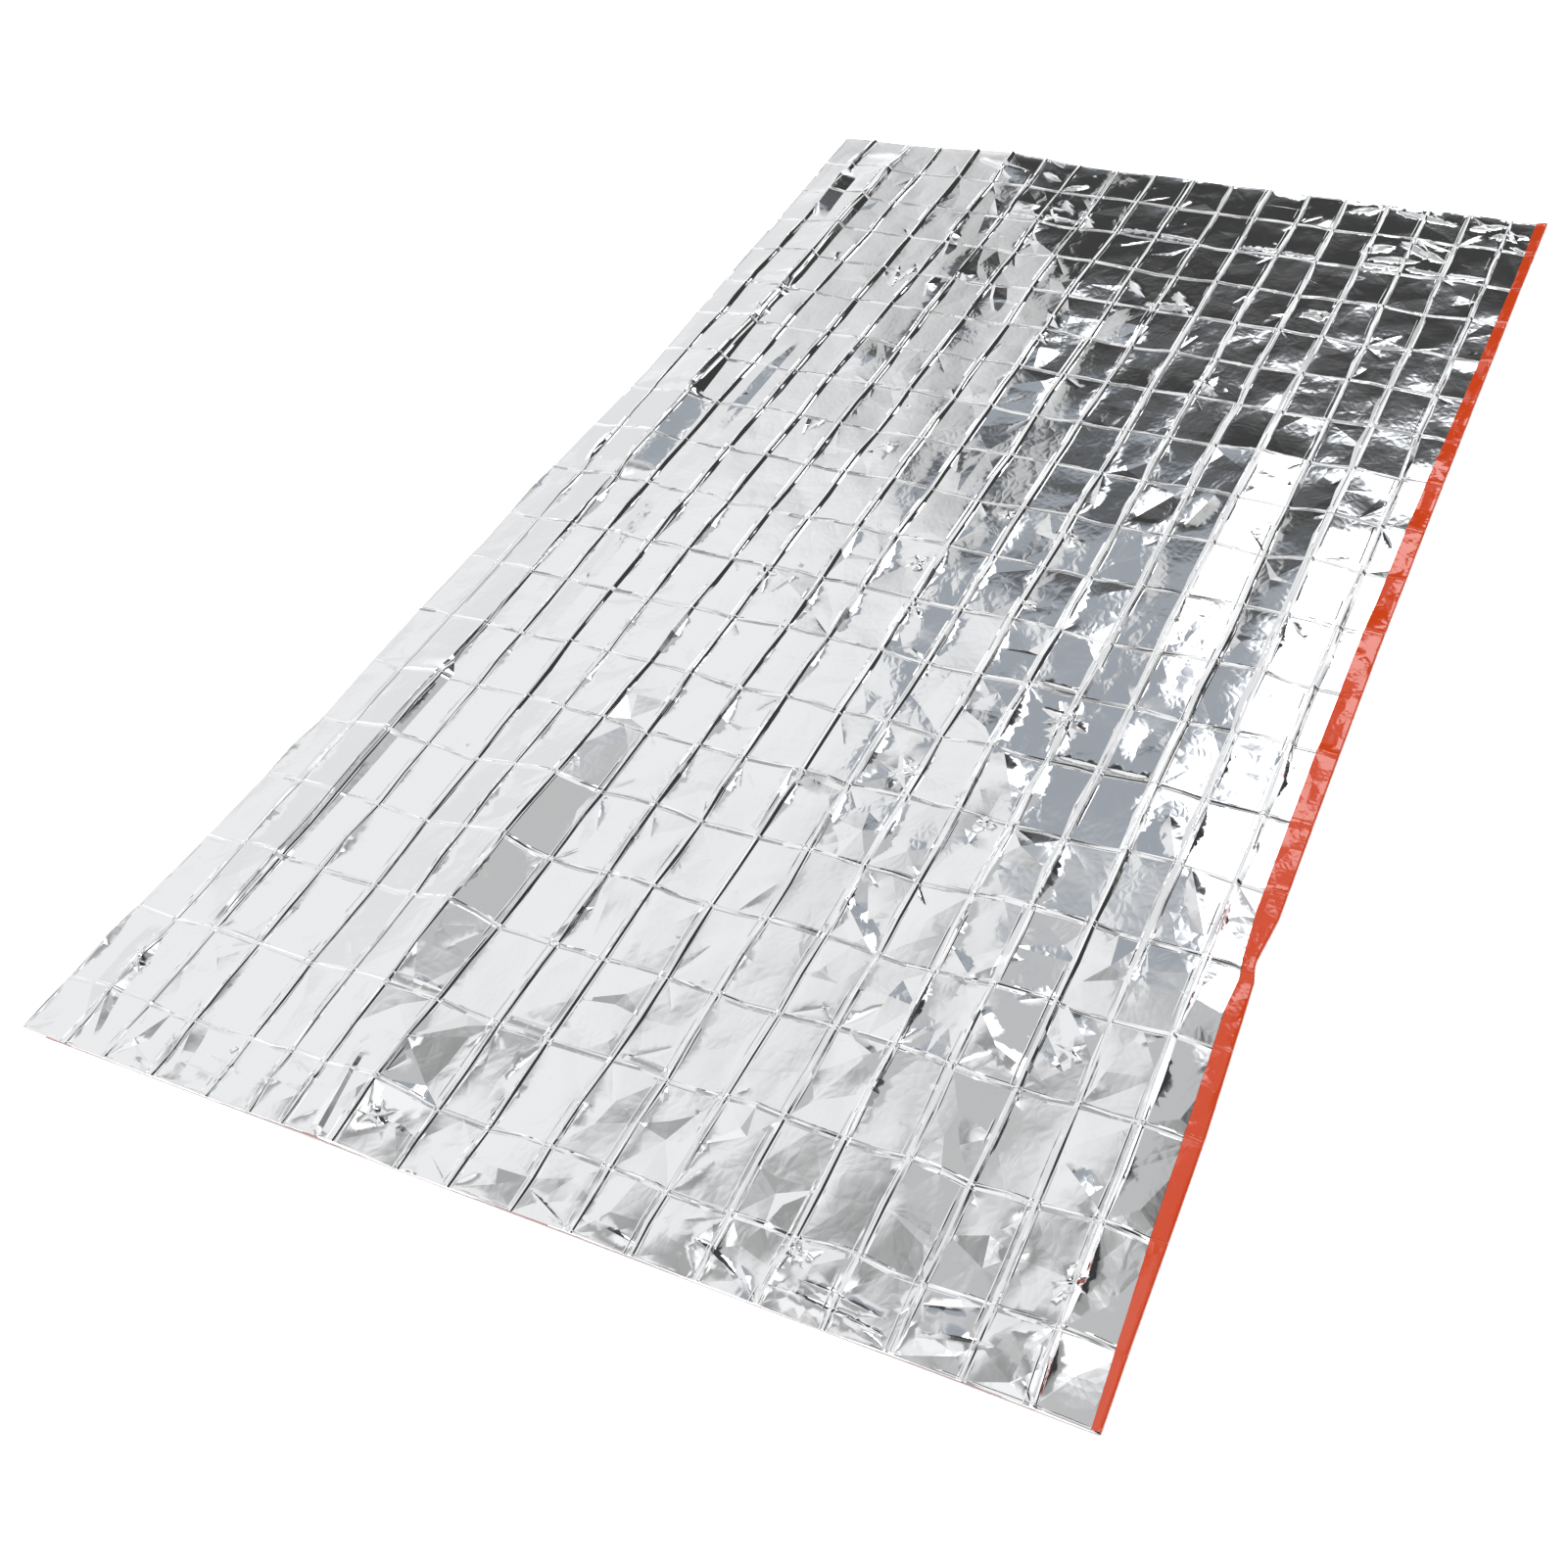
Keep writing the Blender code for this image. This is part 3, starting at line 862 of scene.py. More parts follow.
    def places_at(self, x, y):
        """Cell coordinates, and how far each lengthwise and crosswise crease is."""
        lengthwise = [np.interp(y, line[:, 1], line[:, 0]) for line in self.columns]
        crosswise = [np.interp(x, line[:, 0], line[:, 1]) for line in self.rows]
        counts = []
        for place, lines in ((x, np.array(lengthwise)), (y, np.array(crosswise))):
            low = np.clip((lines <= place).sum(axis=0) - 1, 0, len(lines) - 2)
            start = np.take_along_axis(lines, low[None], axis=0)[0]
            end = np.take_along_axis(lines, low[None] + 1, axis=0)[0]
            counts.append(low + np.clip((place - start) / (end - start), 0, 1))
        return counts[0], counts[1], x - np.array(lengthwise), y - np.array(crosswise)

    def build_panels(self):
        """The flat facets between the creases and the peaks."""
        heights = np.full(self.cross_x.shape, PANEL_HEIGHT)
        for lift in LIFTS:
            heights[lift.row:lift.row + len(lift.rises), lift.crease] += lift.rises
        heights[:, 0] = LEFT_EDGE_HEIGHT
        heights[:, -1] = FOLD_HEIGHT
        uneven = self.rng.uniform(-1, 1, heights.shape) * CROSSING_RISE
        heights += uneven * self.crumple(self.cross_x, self.cross_y) * self.random
        heights = np.maximum(heights, 0.0)
        peaks = np.array(PEAKS + self.random_peaks(), dtype=float)
        s, t, _, _ = self.places_at(peaks[:, 0], peaks[:, 1])
        rise = peaks[:, 2] + between(heights, t, s)
        lines = self.columns[1:-1] + self.rows[1:-1]
        points, triangles, _, _ = triangulate(self.outline(), lines, peaks[:, :2])
        s, t, _, _ = self.places_at(points[:, 0], points[:, 1])
        z = between(heights, t, s)
        for (x, y, _), height in zip(peaks, rise):
            z[np.argmin(np.hypot(points[:, 0] - x, points[:, 1] - y))] = height
        self.net = points, triangles
        corners = points[triangles]
        a, b = corners[:, 1] - corners[:, 0], corners[:, 2] - corners[:, 0]
        rise_a = z[triangles[:, 1]] - z[triangles[:, 0]]
        rise_b = z[triangles[:, 2]] - z[triangles[:, 0]]
        area = a[:, 0] * b[:, 1] - a[:, 1] * b[:, 0]
        slope_x = (rise_a * b[:, 1] - rise_b * a[:, 1]) / area
        slope_y = (rise_b * a[:, 0] - rise_a * b[:, 0]) / area
        self.planes = corners[:, 0], z[triangles[:, 0]], slope_x, slope_y
        flat = [Vector((x, y, 0)) for x, y in points]
        self.finder = BVHTree.FromPolygons(flat, triangles.tolist())

    def outline(self):
        """The edges of the sheet up to the bend, through every crossing on them."""
        sides = []
        for column, x in ((-1, self.bend_x), (0, self.left_x)):
            crests, width = self.cross_y[:, column], self.row_width[:, column]
            y = np.concatenate((crests, crests - width, crests + width, self.outline_y))
            y = np.unique(np.clip(y, 0, LENGTH))
            sides.append(np.stack((np.interp(y, self.outline_y, x), y), axis=-1))
        right, left = sides
        return np.concatenate((self.rows[0][:-1], right[:-1], self.rows[-1][:0:-1], left[:0:-1]))

    def crumple(self, x, y):
        """How crumpled the film is at a place."""
        gain = 1.0
        for zone in ZONES:
            u = (x - zone.x) / zone.across
            v = (y - zone.y) / zone.along
            gain = gain + zone.gain * np.exp(-(u * u + v * v))
        return gain

    def cells(self):
        """The corners of every cell and how crumpled it is."""
        for row in range(len(ROWS) - 1):
            for column in range(len(CREASES) + 1):
                part = slice(row, row + 2), slice(column, column + 2)
                corners = np.stack((self.cross_x[part], self.cross_y[part]), axis=-1)
                yield corners, self.crumple(*corners.mean(axis=(0, 1)))

    def random_peaks(self):
        """One or two points inside each cell, pushed up or down."""
        peaks = []
        for corners, gain in self.cells():
            for _ in range(1 + (self.rng.random() < SECOND_PEAK * gain)):
                u, v = self.rng.uniform(*PEAK_PLACES, 2)
                far = corners[0, 0] * (1 - u) + corners[0, 1] * u
                near = corners[1, 0] * (1 - u) + corners[1, 1] * u
                x, y = far * (1 - v) + near * v
                rise = self.rng.uniform(-1, 1) ** 3 * PEAK_RISE * gain * self.random
                peaks.append(Peak(x, y, rise))
        return tuple(peaks)

    def random_folds(self):
        """Short folds from a crossing into a cell, and long ones along a cell's left side."""
        folds = []
        for corners, gain in self.cells():
            middle = corners.mean(axis=(0, 1))
            for _ in range(self.rng.poisson(FOLDS_PER_CELL * gain)):
                start = corners[self.rng.integers(2), self.rng.integers(2)]
                aim = middle + self.rng.uniform(-1, 1, 2) * FOLD_AIM
                way = (aim - start) / np.hypot(*(aim - start))
                start = start + way * self.rng.uniform(*FOLD_START)
                end = start + way * self.rng.uniform(*FOLD_RUN)
                rise = self.rng.uniform(*FOLD_RISE) * gain * self.rng.choice((-1, 1))
                left, right = self.rng.uniform(*FOLD_FOOT, 2)
                folds.append(Fold(*start, *end, left, right, rise * self.random, FOLD_TAPER))
            if middle[1] > WEDGE_FROM and self.rng.random() < WEDGE_SHARE:
                start, end = corners[0, 0], corners[1, 0]
                left = self.rng.uniform(*WEDGE_FOOT)
                rise = left * self.rng.uniform(*WEDGE_SLOPE) * self.random
                folds.append(Fold(*start, *end, left, WEDGE_OTHER_FOOT, rise, WEDGE_TAPER))
        return tuple(folds)

    def random_dents(self):
        """Soft hollows and bulges inside the cells."""
        dents = []
        for corners, gain in self.cells():
            x, y = corners.mean(axis=(0, 1)) + self.rng.uniform(-1, 1, 2) * DENT_AIM
            across, along = self.rng.uniform(DENT_SMALLEST, DENT_LARGEST)
            rise = self.rng.uniform(-DENT_RISE, DENT_RISE) * gain * self.random
            turn = self.rng.uniform(-DENT_TURN, DENT_TURN)
            dents.append(Dent(x, y, across, along, turn, rise))
        return tuple(dents)

    def heights(self, x, y):
        """Height of the film's underside at places in plan."""
        s, t, across, along = self.places_at(x, y)
        z = self.panel_heights(x, y) + self.ridge_heights(s, t, across, along)
        z += self.bow_heights(s, t)
        z += self.rib_heights(x, y) + self.fold_heights(x, y) + self.dent_heights(x, y)
        rng = np.random.default_rng(self.settings.seed)
        z += sum(rise * soft_noise(x, y, size, rng) for rise, size in WAVES) * self.random
        return np.maximum(z, 0.0)

    def panel_heights(self, x, y):
        start, height, slope_x, slope_y = self.planes
        found = [self.finder.find_nearest((a, b, 0))[2] for a, b in zip(x.tolist(), y.tolist())]
        found = np.array(found)
        dx = x - start[found, 0]
        dy = y - start[found, 1]
        return height[found] + slope_x[found] * dx + slope_y[found] * dy

    def ridge_heights(self, s, t, across, along):
        """Flat-sided narrow ridges along every crease."""
        z = np.zeros_like(s)
        for column in range(1, len(CREASES) + 1):
            left = np.interp(t, self.steps, self.left_width[:, column])
            right = np.interp(t, self.steps, self.right_width[:, column])
            side = 1 - feet_away(across[column], left, right)
            z += np.interp(t, self.steps, self.ridge[:, column]) * np.maximum(side, 0)
        columns = np.arange(len(CREASES) + 2)
        for row in range(len(ROWS)):
            side = 1 - np.abs(along[row]) / np.interp(s, columns, self.row_width[row])
            z += np.interp(s, columns, self.row_ridge[row]) * np.maximum(side, 0)
        return z

    def bow_heights(self, s, t):
        """Panels bowed between their creases."""
        column = np.minimum(s.astype(int), len(CREASES))
        row = np.minimum(t.astype(int), len(ROWS) - 2)
        share = t - row
        bow = self.bow[row, column] * (1 - share) + self.bow[row + 1, column] * share
        u = s - column
        side = np.minimum(PILLOW_PARTS * np.minimum(u, 1 - u), 1)
        pillow = self.pillow[row, column] * side * 4 * share * (1 - share)
        return bow * 4 * u * (1 - u) + pillow

    def rib_heights(self, x, y):
        z = np.zeros_like(x)
        for ribs in RIBS:
            line = Rib(*np.array(ribs, dtype=float).T)
            crest, _, rise, left, right = (np.interp(y, line.y, values) for values in line)
            side = 1 - feet_away(x - crest, left, right)
            among = (y >= line.y[0]) & (y <= line.y[-1])
            z += np.where(among, rise * np.maximum(side, 0), 0)
        return z

    def fold_heights(self, x, y):
        z = np.zeros_like(x)
        for fold in self.folds:
            run = np.hypot(fold.x1 - fold.x0, fold.y1 - fold.y0)
            reach = run / 2 + max(fold.left, fold.right)
            dx = x - (fold.x0 + fold.x1) / 2
            dy = y - (fold.y0 + fold.y1) / 2
            part = np.flatnonzero((np.abs(dx) < reach) & (np.abs(dy) < reach))
            way_x, way_y = (fold.x1 - fold.x0) / run, (fold.y1 - fold.y0) / run
            along = (dx[part] * way_x + dy[part] * way_y) / run + 0.5
            away = feet_away(dy[part] * way_x - dx[part] * way_y, fold.left, fold.right)
            ends = np.minimum(along, 1 - along) / fold.taper
            z[part] += fold.rise * np.maximum(np.minimum(ends, 1) - away, 0)
        return z

    def dent_heights(self, x, y):
        z = np.zeros_like(x)
        for dent in self.dents:
            turn = np.radians(dent.turn)
            reach = DENT_REACH * max(dent.across, dent.along)
            dx = x - dent.x
            dy = y - dent.y
            part = np.flatnonzero((np.abs(dx) < reach) & (np.abs(dy) < reach))
            dx, dy = dx[part], dy[part]
            u = (dx * np.cos(turn) + dy * np.sin(turn)) / dent.across
            v = (dy * np.cos(turn) - dx * np.sin(turn)) / dent.along
            z[part] += dent.rise * np.exp(-(u * u + v * v))
        return z

    def fine_lines(self):
        """Every line that the mesh keeps, and how many of them, from the first, are crisp."""
        points, triangles = self.net
        sides = {tuple(sorted(pair)) for t in triangles.tolist() for pair in zip(t, t[1:] + t[:1])}
        crisp = [points[list(pair)] for pair in sides]
        soft = []
        for column in range(1, len(CREASES) + 1):
            line = self.columns[column]
            crisp.append(line - np.stack((self.left_width[:, column], 0 * self.steps), axis=-1))
            crisp.append(line + np.stack((self.right_width[:, column], 0 * self.steps), axis=-1))
        for row in range(1, len(ROWS) - 1):
            line = self.rows[row]
            width = np.interp(line[:, 0], self.cross_x[row], self.row_width[row])
            for side in (-width, width):
                crisp.append(np.stack((line[:, 0], line[:, 1] + side), axis=-1))
        for ribs in RIBS:
            line = Rib(*np.array(ribs, dtype=float).T)
            for side in (-line.left, 0, line.right):
                crisp.append(np.stack((line.x + side, line.y), axis=-1))
        for fold in self.folds:
            crest, *feet = fold_outline(fold)
            crisp.append(crest)
            soft += feet
        return [dense(line, LINE_STEP) for line in crisp + soft], len(crisp)

    def inside(self, points, margin):
        """Which points lie inside the outline by more than the margin."""
        x, y = points[:, 0], points[:, 1]
        left = x - np.interp(y, self.outline_y, self.left_x)
        right = np.interp(y, self.outline_y, self.bend_x) - x
        return np.minimum.reduce((left, right, y, LENGTH - y)) > margin

    def loose_points(self, lines, step):
        """Points in the open panels, away from the lines."""
        x, y = np.meshgrid(np.arange(0, WIDTH, step), np.arange(0, LENGTH, step))
        x[1::2] += step / 2
        points = np.stack((x, y), axis=-1).reshape(-1, 2)
        points += self.rng.uniform(-LOOSE_STRAY, LOOSE_STRAY, points.shape) * step
        points = points[self.inside(points, step / 2)]
        bin_size = step / 2
        taken = np.zeros(grid_shape(bin_size), dtype=bool)
        for line in lines:
            bins = (np.clip(line, 0, (WIDTH, LENGTH)) / bin_size).astype(int)
            taken[bins[:, 0], bins[:, 1]] = True
        bins = (points / bin_size).astype(int)
        return points[~taken[bins[:, 0], bins[:, 1]]]


def feet_away(away, left, right):
    """How far a place is from a crest, in times the way to its foot on that side."""
    return np.where(away < 0, -away / left, away / right)


def between(table, t, s):
    """A table's value at a fractional row and column."""
    row = np.minimum(t.astype(int), table.shape[0] - 2)
    column = np.minimum(s.astype(int), table.shape[1] - 2)
    v = t - row
    u = s - column
    far = table[row, column] * (1 - u) + table[row, column + 1] * u
    near = table[row + 1, column] * (1 - u) + table[row + 1, column + 1] * u
    return far * (1 - v) + near * v


def knot_folds(rng):
    """The folds that run through each knot."""
    folds = []
    for knot in KNOTS:
        for number in range(knot.folds):
            stray = rng.uniform(-KNOT_TURN, KNOT_TURN)
            angle = np.radians(knot.turn + 180 * number / knot.folds + stray)
            way = np.array((np.cos(angle), np.sin(angle))) * knot.reach
            middle = knot.x, knot.y
            start = middle - way * rng.uniform(*KNOT_ENDS)
            end = middle + way * rng.uniform(*KNOT_ENDS)
            rise = knot.rise * (-KNOT_TROUGH if number % 2 else 1.0)
            left, right = rng.uniform(*KNOT_WIDTHS, 2) * knot.reach
            folds.append(Fold(*start, *end, left, right, rise, KNOT_TAPER))
    return tuple(folds)


def fold_outline(fold):
    """A fold's crest and its two feet."""
    start = np.array((fold.x0, fold.y0), dtype=float)
    run = np.array((fold.x1, fold.y1)) - start
    side = np.array((-run[1], run[0])) / np.hypot(*run)
    first = start + run * fold.taper
    last = start + run * (1 - fold.taper)
    lines = [np.array((start, start + run))]
    for foot in (side * fold.right, -side * fold.left):
        lines.append(np.array((start, first + foot, last + foot, start + run)))
    return lines


def to_metres(x, y, z):
    return np.stack(((x - WIDTH / 2) * MM, (LENGTH / 2 - y) * MM, z * MM), axis=-1)


def grid_faces(numbers):
    """Quads between the neighbours of a table of point numbers."""
    corners = (numbers[:-1, :-1], numbers[1:, :-1], numbers[1:, 1:], numbers[:-1, 1:])
    return np.stack(corners, axis=-1).reshape(-1, 4).tolist()


def lip_sections(sheet, y):
    """X and height of the bend and the lip: on their inner side and their outer side."""
    settings = sheet.settings
    radius = settings.bend_radius / MM
    film = settings.thickness / MM
    fold = np.interp(y, sheet.outline_y, sheet.fold_x)
    widths = [entry.lip_width for entry in OUTLINE]
    lip = np.interp(y, sheet.outline_y, widths)
    start = fold - radius
    level = np.interp(y, *np.array(LIP_LEVELS).T)
    base = sheet.heights(start, y)
    rng = np.random.default_rng(settings.seed)
    level = level + LIP_UNEVEN * soft_noise(start, y, LIP_UNEVEN_SIZE, rng) * sheet.random
    outer = []
    inner = []
    for angle in np.radians(BEND_ANGLES):
        for side, r in ((outer, radius), (inner, radius - film)):
            side.append((start + r * np.sin(angle), base + radius - r * np.cos(angle)))
    for share in LIP_SHARES:
        x = start + (fold - lip - start) * share
        rise = 2 * radius * (1 - share) + level * share
        z = sheet.heights(x, y) + rise + LIP_BULGE * np.sin(np.pi * share)
        outer.append((x, z))
        inner.append((x, z - film))
    return inner, outer


def lowest_near(points, places, z):
    """The lowest height within one step of the underside round each place."""
    low = np.full(grid_shape(UNDER_STEP), np.inf)
    bins = (places / UNDER_STEP).astype(int) + 1
    np.minimum.at(low, (bins[:, 0], bins[:, 1]), z)
    near = low.copy()
    for dx in (-1, 0, 1):
        for dy in (-1, 0, 1):
            near = np.minimum(near, np.roll(low, (dx, dy), axis=(0, 1)))
    bins = (points / UNDER_STEP).astype(int) + 1
    return near[bins[:, 0], bins[:, 1]]


def underside(sheet, rim, plan, z):
    """Points, triangles and heights below, and the numbers of the points on the rim."""
    loose = sheet.loose_points([rim], UNDER_STEP)
    below, bottom, origins, _ = triangulate(rim, [], loose)
    on_rim = np.empty(len(rim), dtype=int)
    for number, origin in enumerate(origins):
        for place in origin:
            if place < len(rim):
                on_rim[place] = number
    return below, bottom, lowest_near(below, plan, z), on_rim


def build_mesh(settings):
    """The closed film: fine on top and round the lip, coarser below."""
    sheet = Sheet(settings)
    lines, crisp = sheet.fine_lines()
    edge = sheet.outline()
    edge = dense(np.concatenate((edge, edge[:1])), LINE_STEP)[:-1]
    loose = sheet.loose_points([edge, *lines], PANEL_STEP)
    plan, top, _, on_lines = triangulate(edge, lines, loose)
    creases = on_lines[on_lines[:, 2] < crisp, :2]
    z = sheet.heights(plan[:, 0], plan[:, 1])

    # The rim runs from the far right corner along the bend, then round the other edges.
    loop = outer_loop(top)
    corner = np.argmax(plan[loop] @ (1, -1))
    loop = np.roll(loop, -corner)
    rim = plan[loop]
    bend = np.arange(np.argmax(rim @ (1, 1)) + 1)
    below, bottom, below_z, below_loop = underside(sheet, rim, plan, z)
    below_z[below_loop] = np.minimum(z[loop], below_z[below_loop] + RIM_DROP)
    below_z[below_loop[bend]] = z[loop[bend]]
    inner, outer = lip_sections(sheet, rim[bend, 1])
    lip = [to_metres(x, rim[bend, 1], height) for x, height in inner + outer[::-1]]

    film = settings.thickness / MM
    points = [to_metres(plan[:, 0], plan[:, 1], z + film)]
    points.append(to_metres(below[:, 0], below[:, 1], below_z))
    points += lip
    below_loop += len(plan)

    # Each row of the ring runs from the top film over the lip's silver side to its free
    # edge, and back over its orange side to the underside.
    lip_numbers = np.arange(len(bend) * len(lip)).reshape(len(lip), len(bend)).T
    lip_numbers += len(plan) + len(below)
    ring = np.column_stack((loop[bend], lip_numbers, below_loop[bend]))
    free_edge = len(inner)
    silver = top[:, ::-1].tolist() + grid_faces(ring[:, :free_edge + 1])
    orange = (bottom + len(plan)).tolist() + grid_faces(ring[:, free_edge:])
    for end, flipped in ((0, False), (-1, True)):
        for i in range(len(inner)):
            face = [ring[end, i], ring[end, i + 1], ring[end, -2 - i], ring[end, -1 - i]]
            orange.append(face[::-1] if flipped else face)
    for i in range(bend[-1], len(loop)):
        j = (i + 1) % len(loop)
        face = (loop[i], loop[j], below_loop[j], below_loop[i])
        shown = any(peek.start < rim[i, 0] < peek.end for peek in PEEKS)
        (orange if shown and rim[i, 1] > LENGTH - NEAR_EDGE else silver).append(face)

    mesh = bpy.data.meshes.new("foil_blanket_film")
    mesh.from_pydata(np.concatenate(points).tolist(), [], silver + orange)
    kinds = np.zeros(len(mesh.polygons), dtype=np.int32)
    kinds[len(silver):] = 1
    mesh.polygons.foreach_set("material_index", kinds)
    mark_creases(mesh, creases)
    add_cell_coordinates(mesh, sheet, plan, below, rim[bend, 1], len(lip))
    return mesh


def mark_creases(mesh, creases):
    """Smooth shading that breaks at the creases and the rims."""
    mesh.shade_smooth()
    mesh.set_sharp_from_angle(angle=np.radians(SHARP_ANGLE))
    sharp = np.empty(len(mesh.edges), dtype=bool)
    mesh.attributes["sharp_edge"].data.foreach_get("value", sharp)
    ends = np.empty(2 * len(mesh.edges), dtype=np.int32)
    mesh.edges.foreach_get("vertices", ends)
    count = len(mesh.vertices)
    ends = np.sort(ends.reshape(-1, 2), axis=1).astype(np.int64) @ (count, 1)
    creases = np.sort(creases, axis=1).astype(np.int64) @ (count, 1)
    sharp |= np.isin(ends, creases)
    mesh.attributes["sharp_edge"].data.foreach_set("value", sharp)


def add_cell_coordinates(mesh, sheet, plan, below, lip_y, lip_columns):
    """A UV map that counts cells: u from the left edge and v from the far end."""
    places = np.concatenate((plan, below))
    s, t, _, _ = sheet.places_at(places[:, 0], places[:, 1])
    _, lip_t, _, _ = sheet.places_at(sheet.cross_x[0, -1] + 0 * lip_y, lip_y)
    lip_s = len(CREASES) + 1 + np.arange(1, lip_columns + 1) / lip_columns
    lip_s, lip_t = np.meshgrid(lip_s, lip_t, indexing="ij")
    lip_cells = np.stack((lip_s, lip_t), axis=-1).reshape(-1, 2)
    cells = np.concatenate((np.stack((s, t), axis=-1), lip_cells))
    corners = np.empty(len(mesh.loops), dtype=np.int32)
    mesh.loops.foreach_get("vertex_index", corners)
    layer = mesh.uv_layers.new(name="cells")
    layer.data.foreach_set("uv", cells[corners].astype(np.float32).ravel())


def new_material(name):
    material = bpy.data.materials.new(name)
    material.use_nodes = True
    return material, material.node_tree, material.node_tree.nodes["Principled BSDF"]


# Wrinkles too small for the mesh: their size in metres, how much shorter the sheet counts
# along its length, so that they come out longer, and how many millimetres their flat sides
# climb over one such size.
Wrinkle = namedtuple("Wrinkle", "size shorter climb")
SILVER_WRINKLES = Wrinkle(0.03, 0.55, 0.48)
SILVER_CREPE = Wrinkle(0.011, 0.8, 0.1)
ORANGE_WRINKLES = Wrinkle(0.028, 0.6, 1.3)
ORANGE_CREPE = Wrinkle(0.008, 1.0, 0.15)
# Noise: its scale in waves a metre and its detail. The film has low ripples of this depth,
# the silver wrinkles come where the patches' noise passes from the one to the other level,
# and their places are bent by this many metres.
RIPPLES = 38.0, 1.0
RIPPLE_DEPTH = 0.16
PATCHES = 9.0, 2.0
PATCH_LEVELS = 0.46, 0.66
BENDING = 22.0, 1.0
BENDING_REACH = 0.03
NOISE_ROUGHNESS = 0.5
# Which output of the coordinates holds the object's own.
OBJECT_OUTPUT = 3
# Fine pleats beside the creases: for each axis of the cells, how far they are from the
# crease and how far their feet are from them, in cells. They all have this height in
# millimetres, and come where noise of this scale passes from the one to the other level.
Pleats = namedtuple("Pleats", "axis places width")
PLEATS = (
    Pleats(0, (-0.13, -0.06, 0.05), 0.018),
    Pleats(1, (-0.035, 0.03), 0.01),
)
PLEAT_HEIGHT = 0.4
PLEAT_NOISE = 14.0
PLEAT_LEVELS = 0.42, 0.6
LACQUER_IOR = 1.65


def place_on_sheet(tree):
    """Where a shaded point is, in the sheet's own metres."""
    return add_node(tree, "ShaderNodeTexCoord", {}, output=OBJECT_OUTPUT)


def noise(tree, place, scale, detail, output=0):
    """Soft noise, as a number or, with output 1, as three."""
    values = place, scale, detail, NOISE_ROUGHNESS
    return add_node(tree, "ShaderNodeTexNoise", {}, *values, output=output)


def crinkle(tree, place, wrinkle):
    """The height of flat-sided small wrinkles."""
    narrowed = (1.0, wrinkle.shorter, 1.0)
    place = add_node(tree, "ShaderNodeVectorMath", {"operation": "MULTIPLY"}, place, narrowed)
    cells = {"feature": "DISTANCE_TO_EDGE", "voronoi_dimensions": "2D"}
    return wrinkle.climb * add_node(tree, "ShaderNodeTexVoronoi", cells, place, 1 / wrinkle.size)


def pleats(tree, place):
    """The height of the fine pleats beside the creases."""
    cells = add_node(tree, "ShaderNodeUVMap", {"uv_map": "cells"})
    height = 0.0
    for axis, places, width in PLEATS:
        count = add_node(tree, "ShaderNodeSeparateXYZ", {}, cells, output=axis)
        strength = noise(tree, place, PLEAT_NOISE + axis, 1.0)
        for shift in places:
            away = count - shift
            away = abs(away - away.math("ROUND", away))
            pleat = away.math("MAXIMUM", 1 - away / width, 0.0)
            height = height + pleat * strength.step(*PLEAT_LEVELS)
            strength = 1 - strength
    return PLEAT_HEIGHT * height


def add_bump(tree, shader, height):
    """Bends the shader's normals by a height in millimetres."""
    bump = add_node(tree, "ShaderNodeBump", {}, 1.0, MM, None, height)
    put(tree, shader.inputs["Normal"], bump)


def silver_material(settings):
    """Mirror film with two sizes of small wrinkles that come in patches."""
    material, tree, shader = new_material("foil_silver")
    shader.inputs["Base Color"].default_value = (*settings.silver, 1.0)
    shader.inputs["Metallic"].default_value = 1.0
    shader.inputs["Roughness"].default_value = settings.silver_roughness
    place = place_on_sheet(tree)
    ripples = noise(tree, place, *RIPPLES)
    patches = noise(tree, place, *PATCHES).step(*PATCH_LEVELS)
    bending = noise(tree, place, *BENDING, output=1)
    shift = add_node(tree, "ShaderNodeVectorMath", {"operation": "SCALE"}, bending)
    shift.socket.node.inputs["Scale"].default_value = BENDING_REACH
    bent = add_node(tree, "ShaderNodeVectorMath", {"operation": "ADD"}, place, shift)
    height = RIPPLE_DEPTH * ripples + patches * crinkle(tree, bent, SILVER_WRINKLES)
    height = height + crinkle(tree, bent, SILVER_CREPE) + pleats(tree, place)
    add_bump(tree, shader, height)
    return material


def orange_material(settings):
    """Lacquered film with two sizes of small wrinkles."""
    material, tree, shader = new_material("foil_orange")
    shader.inputs["Base Color"].default_value = (*settings.orange, 1.0)
    shader.inputs["Roughness"].default_value = settings.orange_roughness
    shader.inputs["IOR"].default_value = LACQUER_IOR
    place = place_on_sheet(tree)
    height = crinkle(tree, place, ORANGE_WRINKLES) + crinkle(tree, place, ORANGE_CREPE)
    add_bump(tree, shader, height + pleats(tree, place))
    return material


class FOIL_OT_blanket(bpy.types.Operator):
    """Build the creased film with its turned edge"""

    bl_idname = "foil.blanket"
    bl_label = "Foil blanket"

    def execute(self, context):
        settings = context.scene.foil_film
        blanket = bpy.data.objects.new("foil_sheet", build_mesh(settings))
        blanket.data.materials.append(silver_material(settings))
        blanket.data.materials.append(orange_material(settings))
        context.scene.collection.objects.link(blanket)
        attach(blanket, BODY)
        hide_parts(NODE)
        return {"FINISHED"}


# Camera: its place in metres, and the directions of its right and its up.
CAMERA_PLACE = Vector((0.7756, -1.7804, 1.4577))
CAMERA_RIGHT = Vector((0.9011, 0.4251, -0.0850))
CAMERA_UP = Vector((-0.2390, 0.6507, 0.7208))
# The width in millimetres that the lens's length counts for.
SENSOR_WIDTH = 36.0
# The floor lies this far below the sheet, so that the two never share a plane.
FLOOR_DROP = 0.2 * MM
FLOOR_ROUGHNESS = 0.9
# The overhead light: its side and its height in metres.
FILL_SIZE = 6.0
FILL_HEIGHT = 4.5


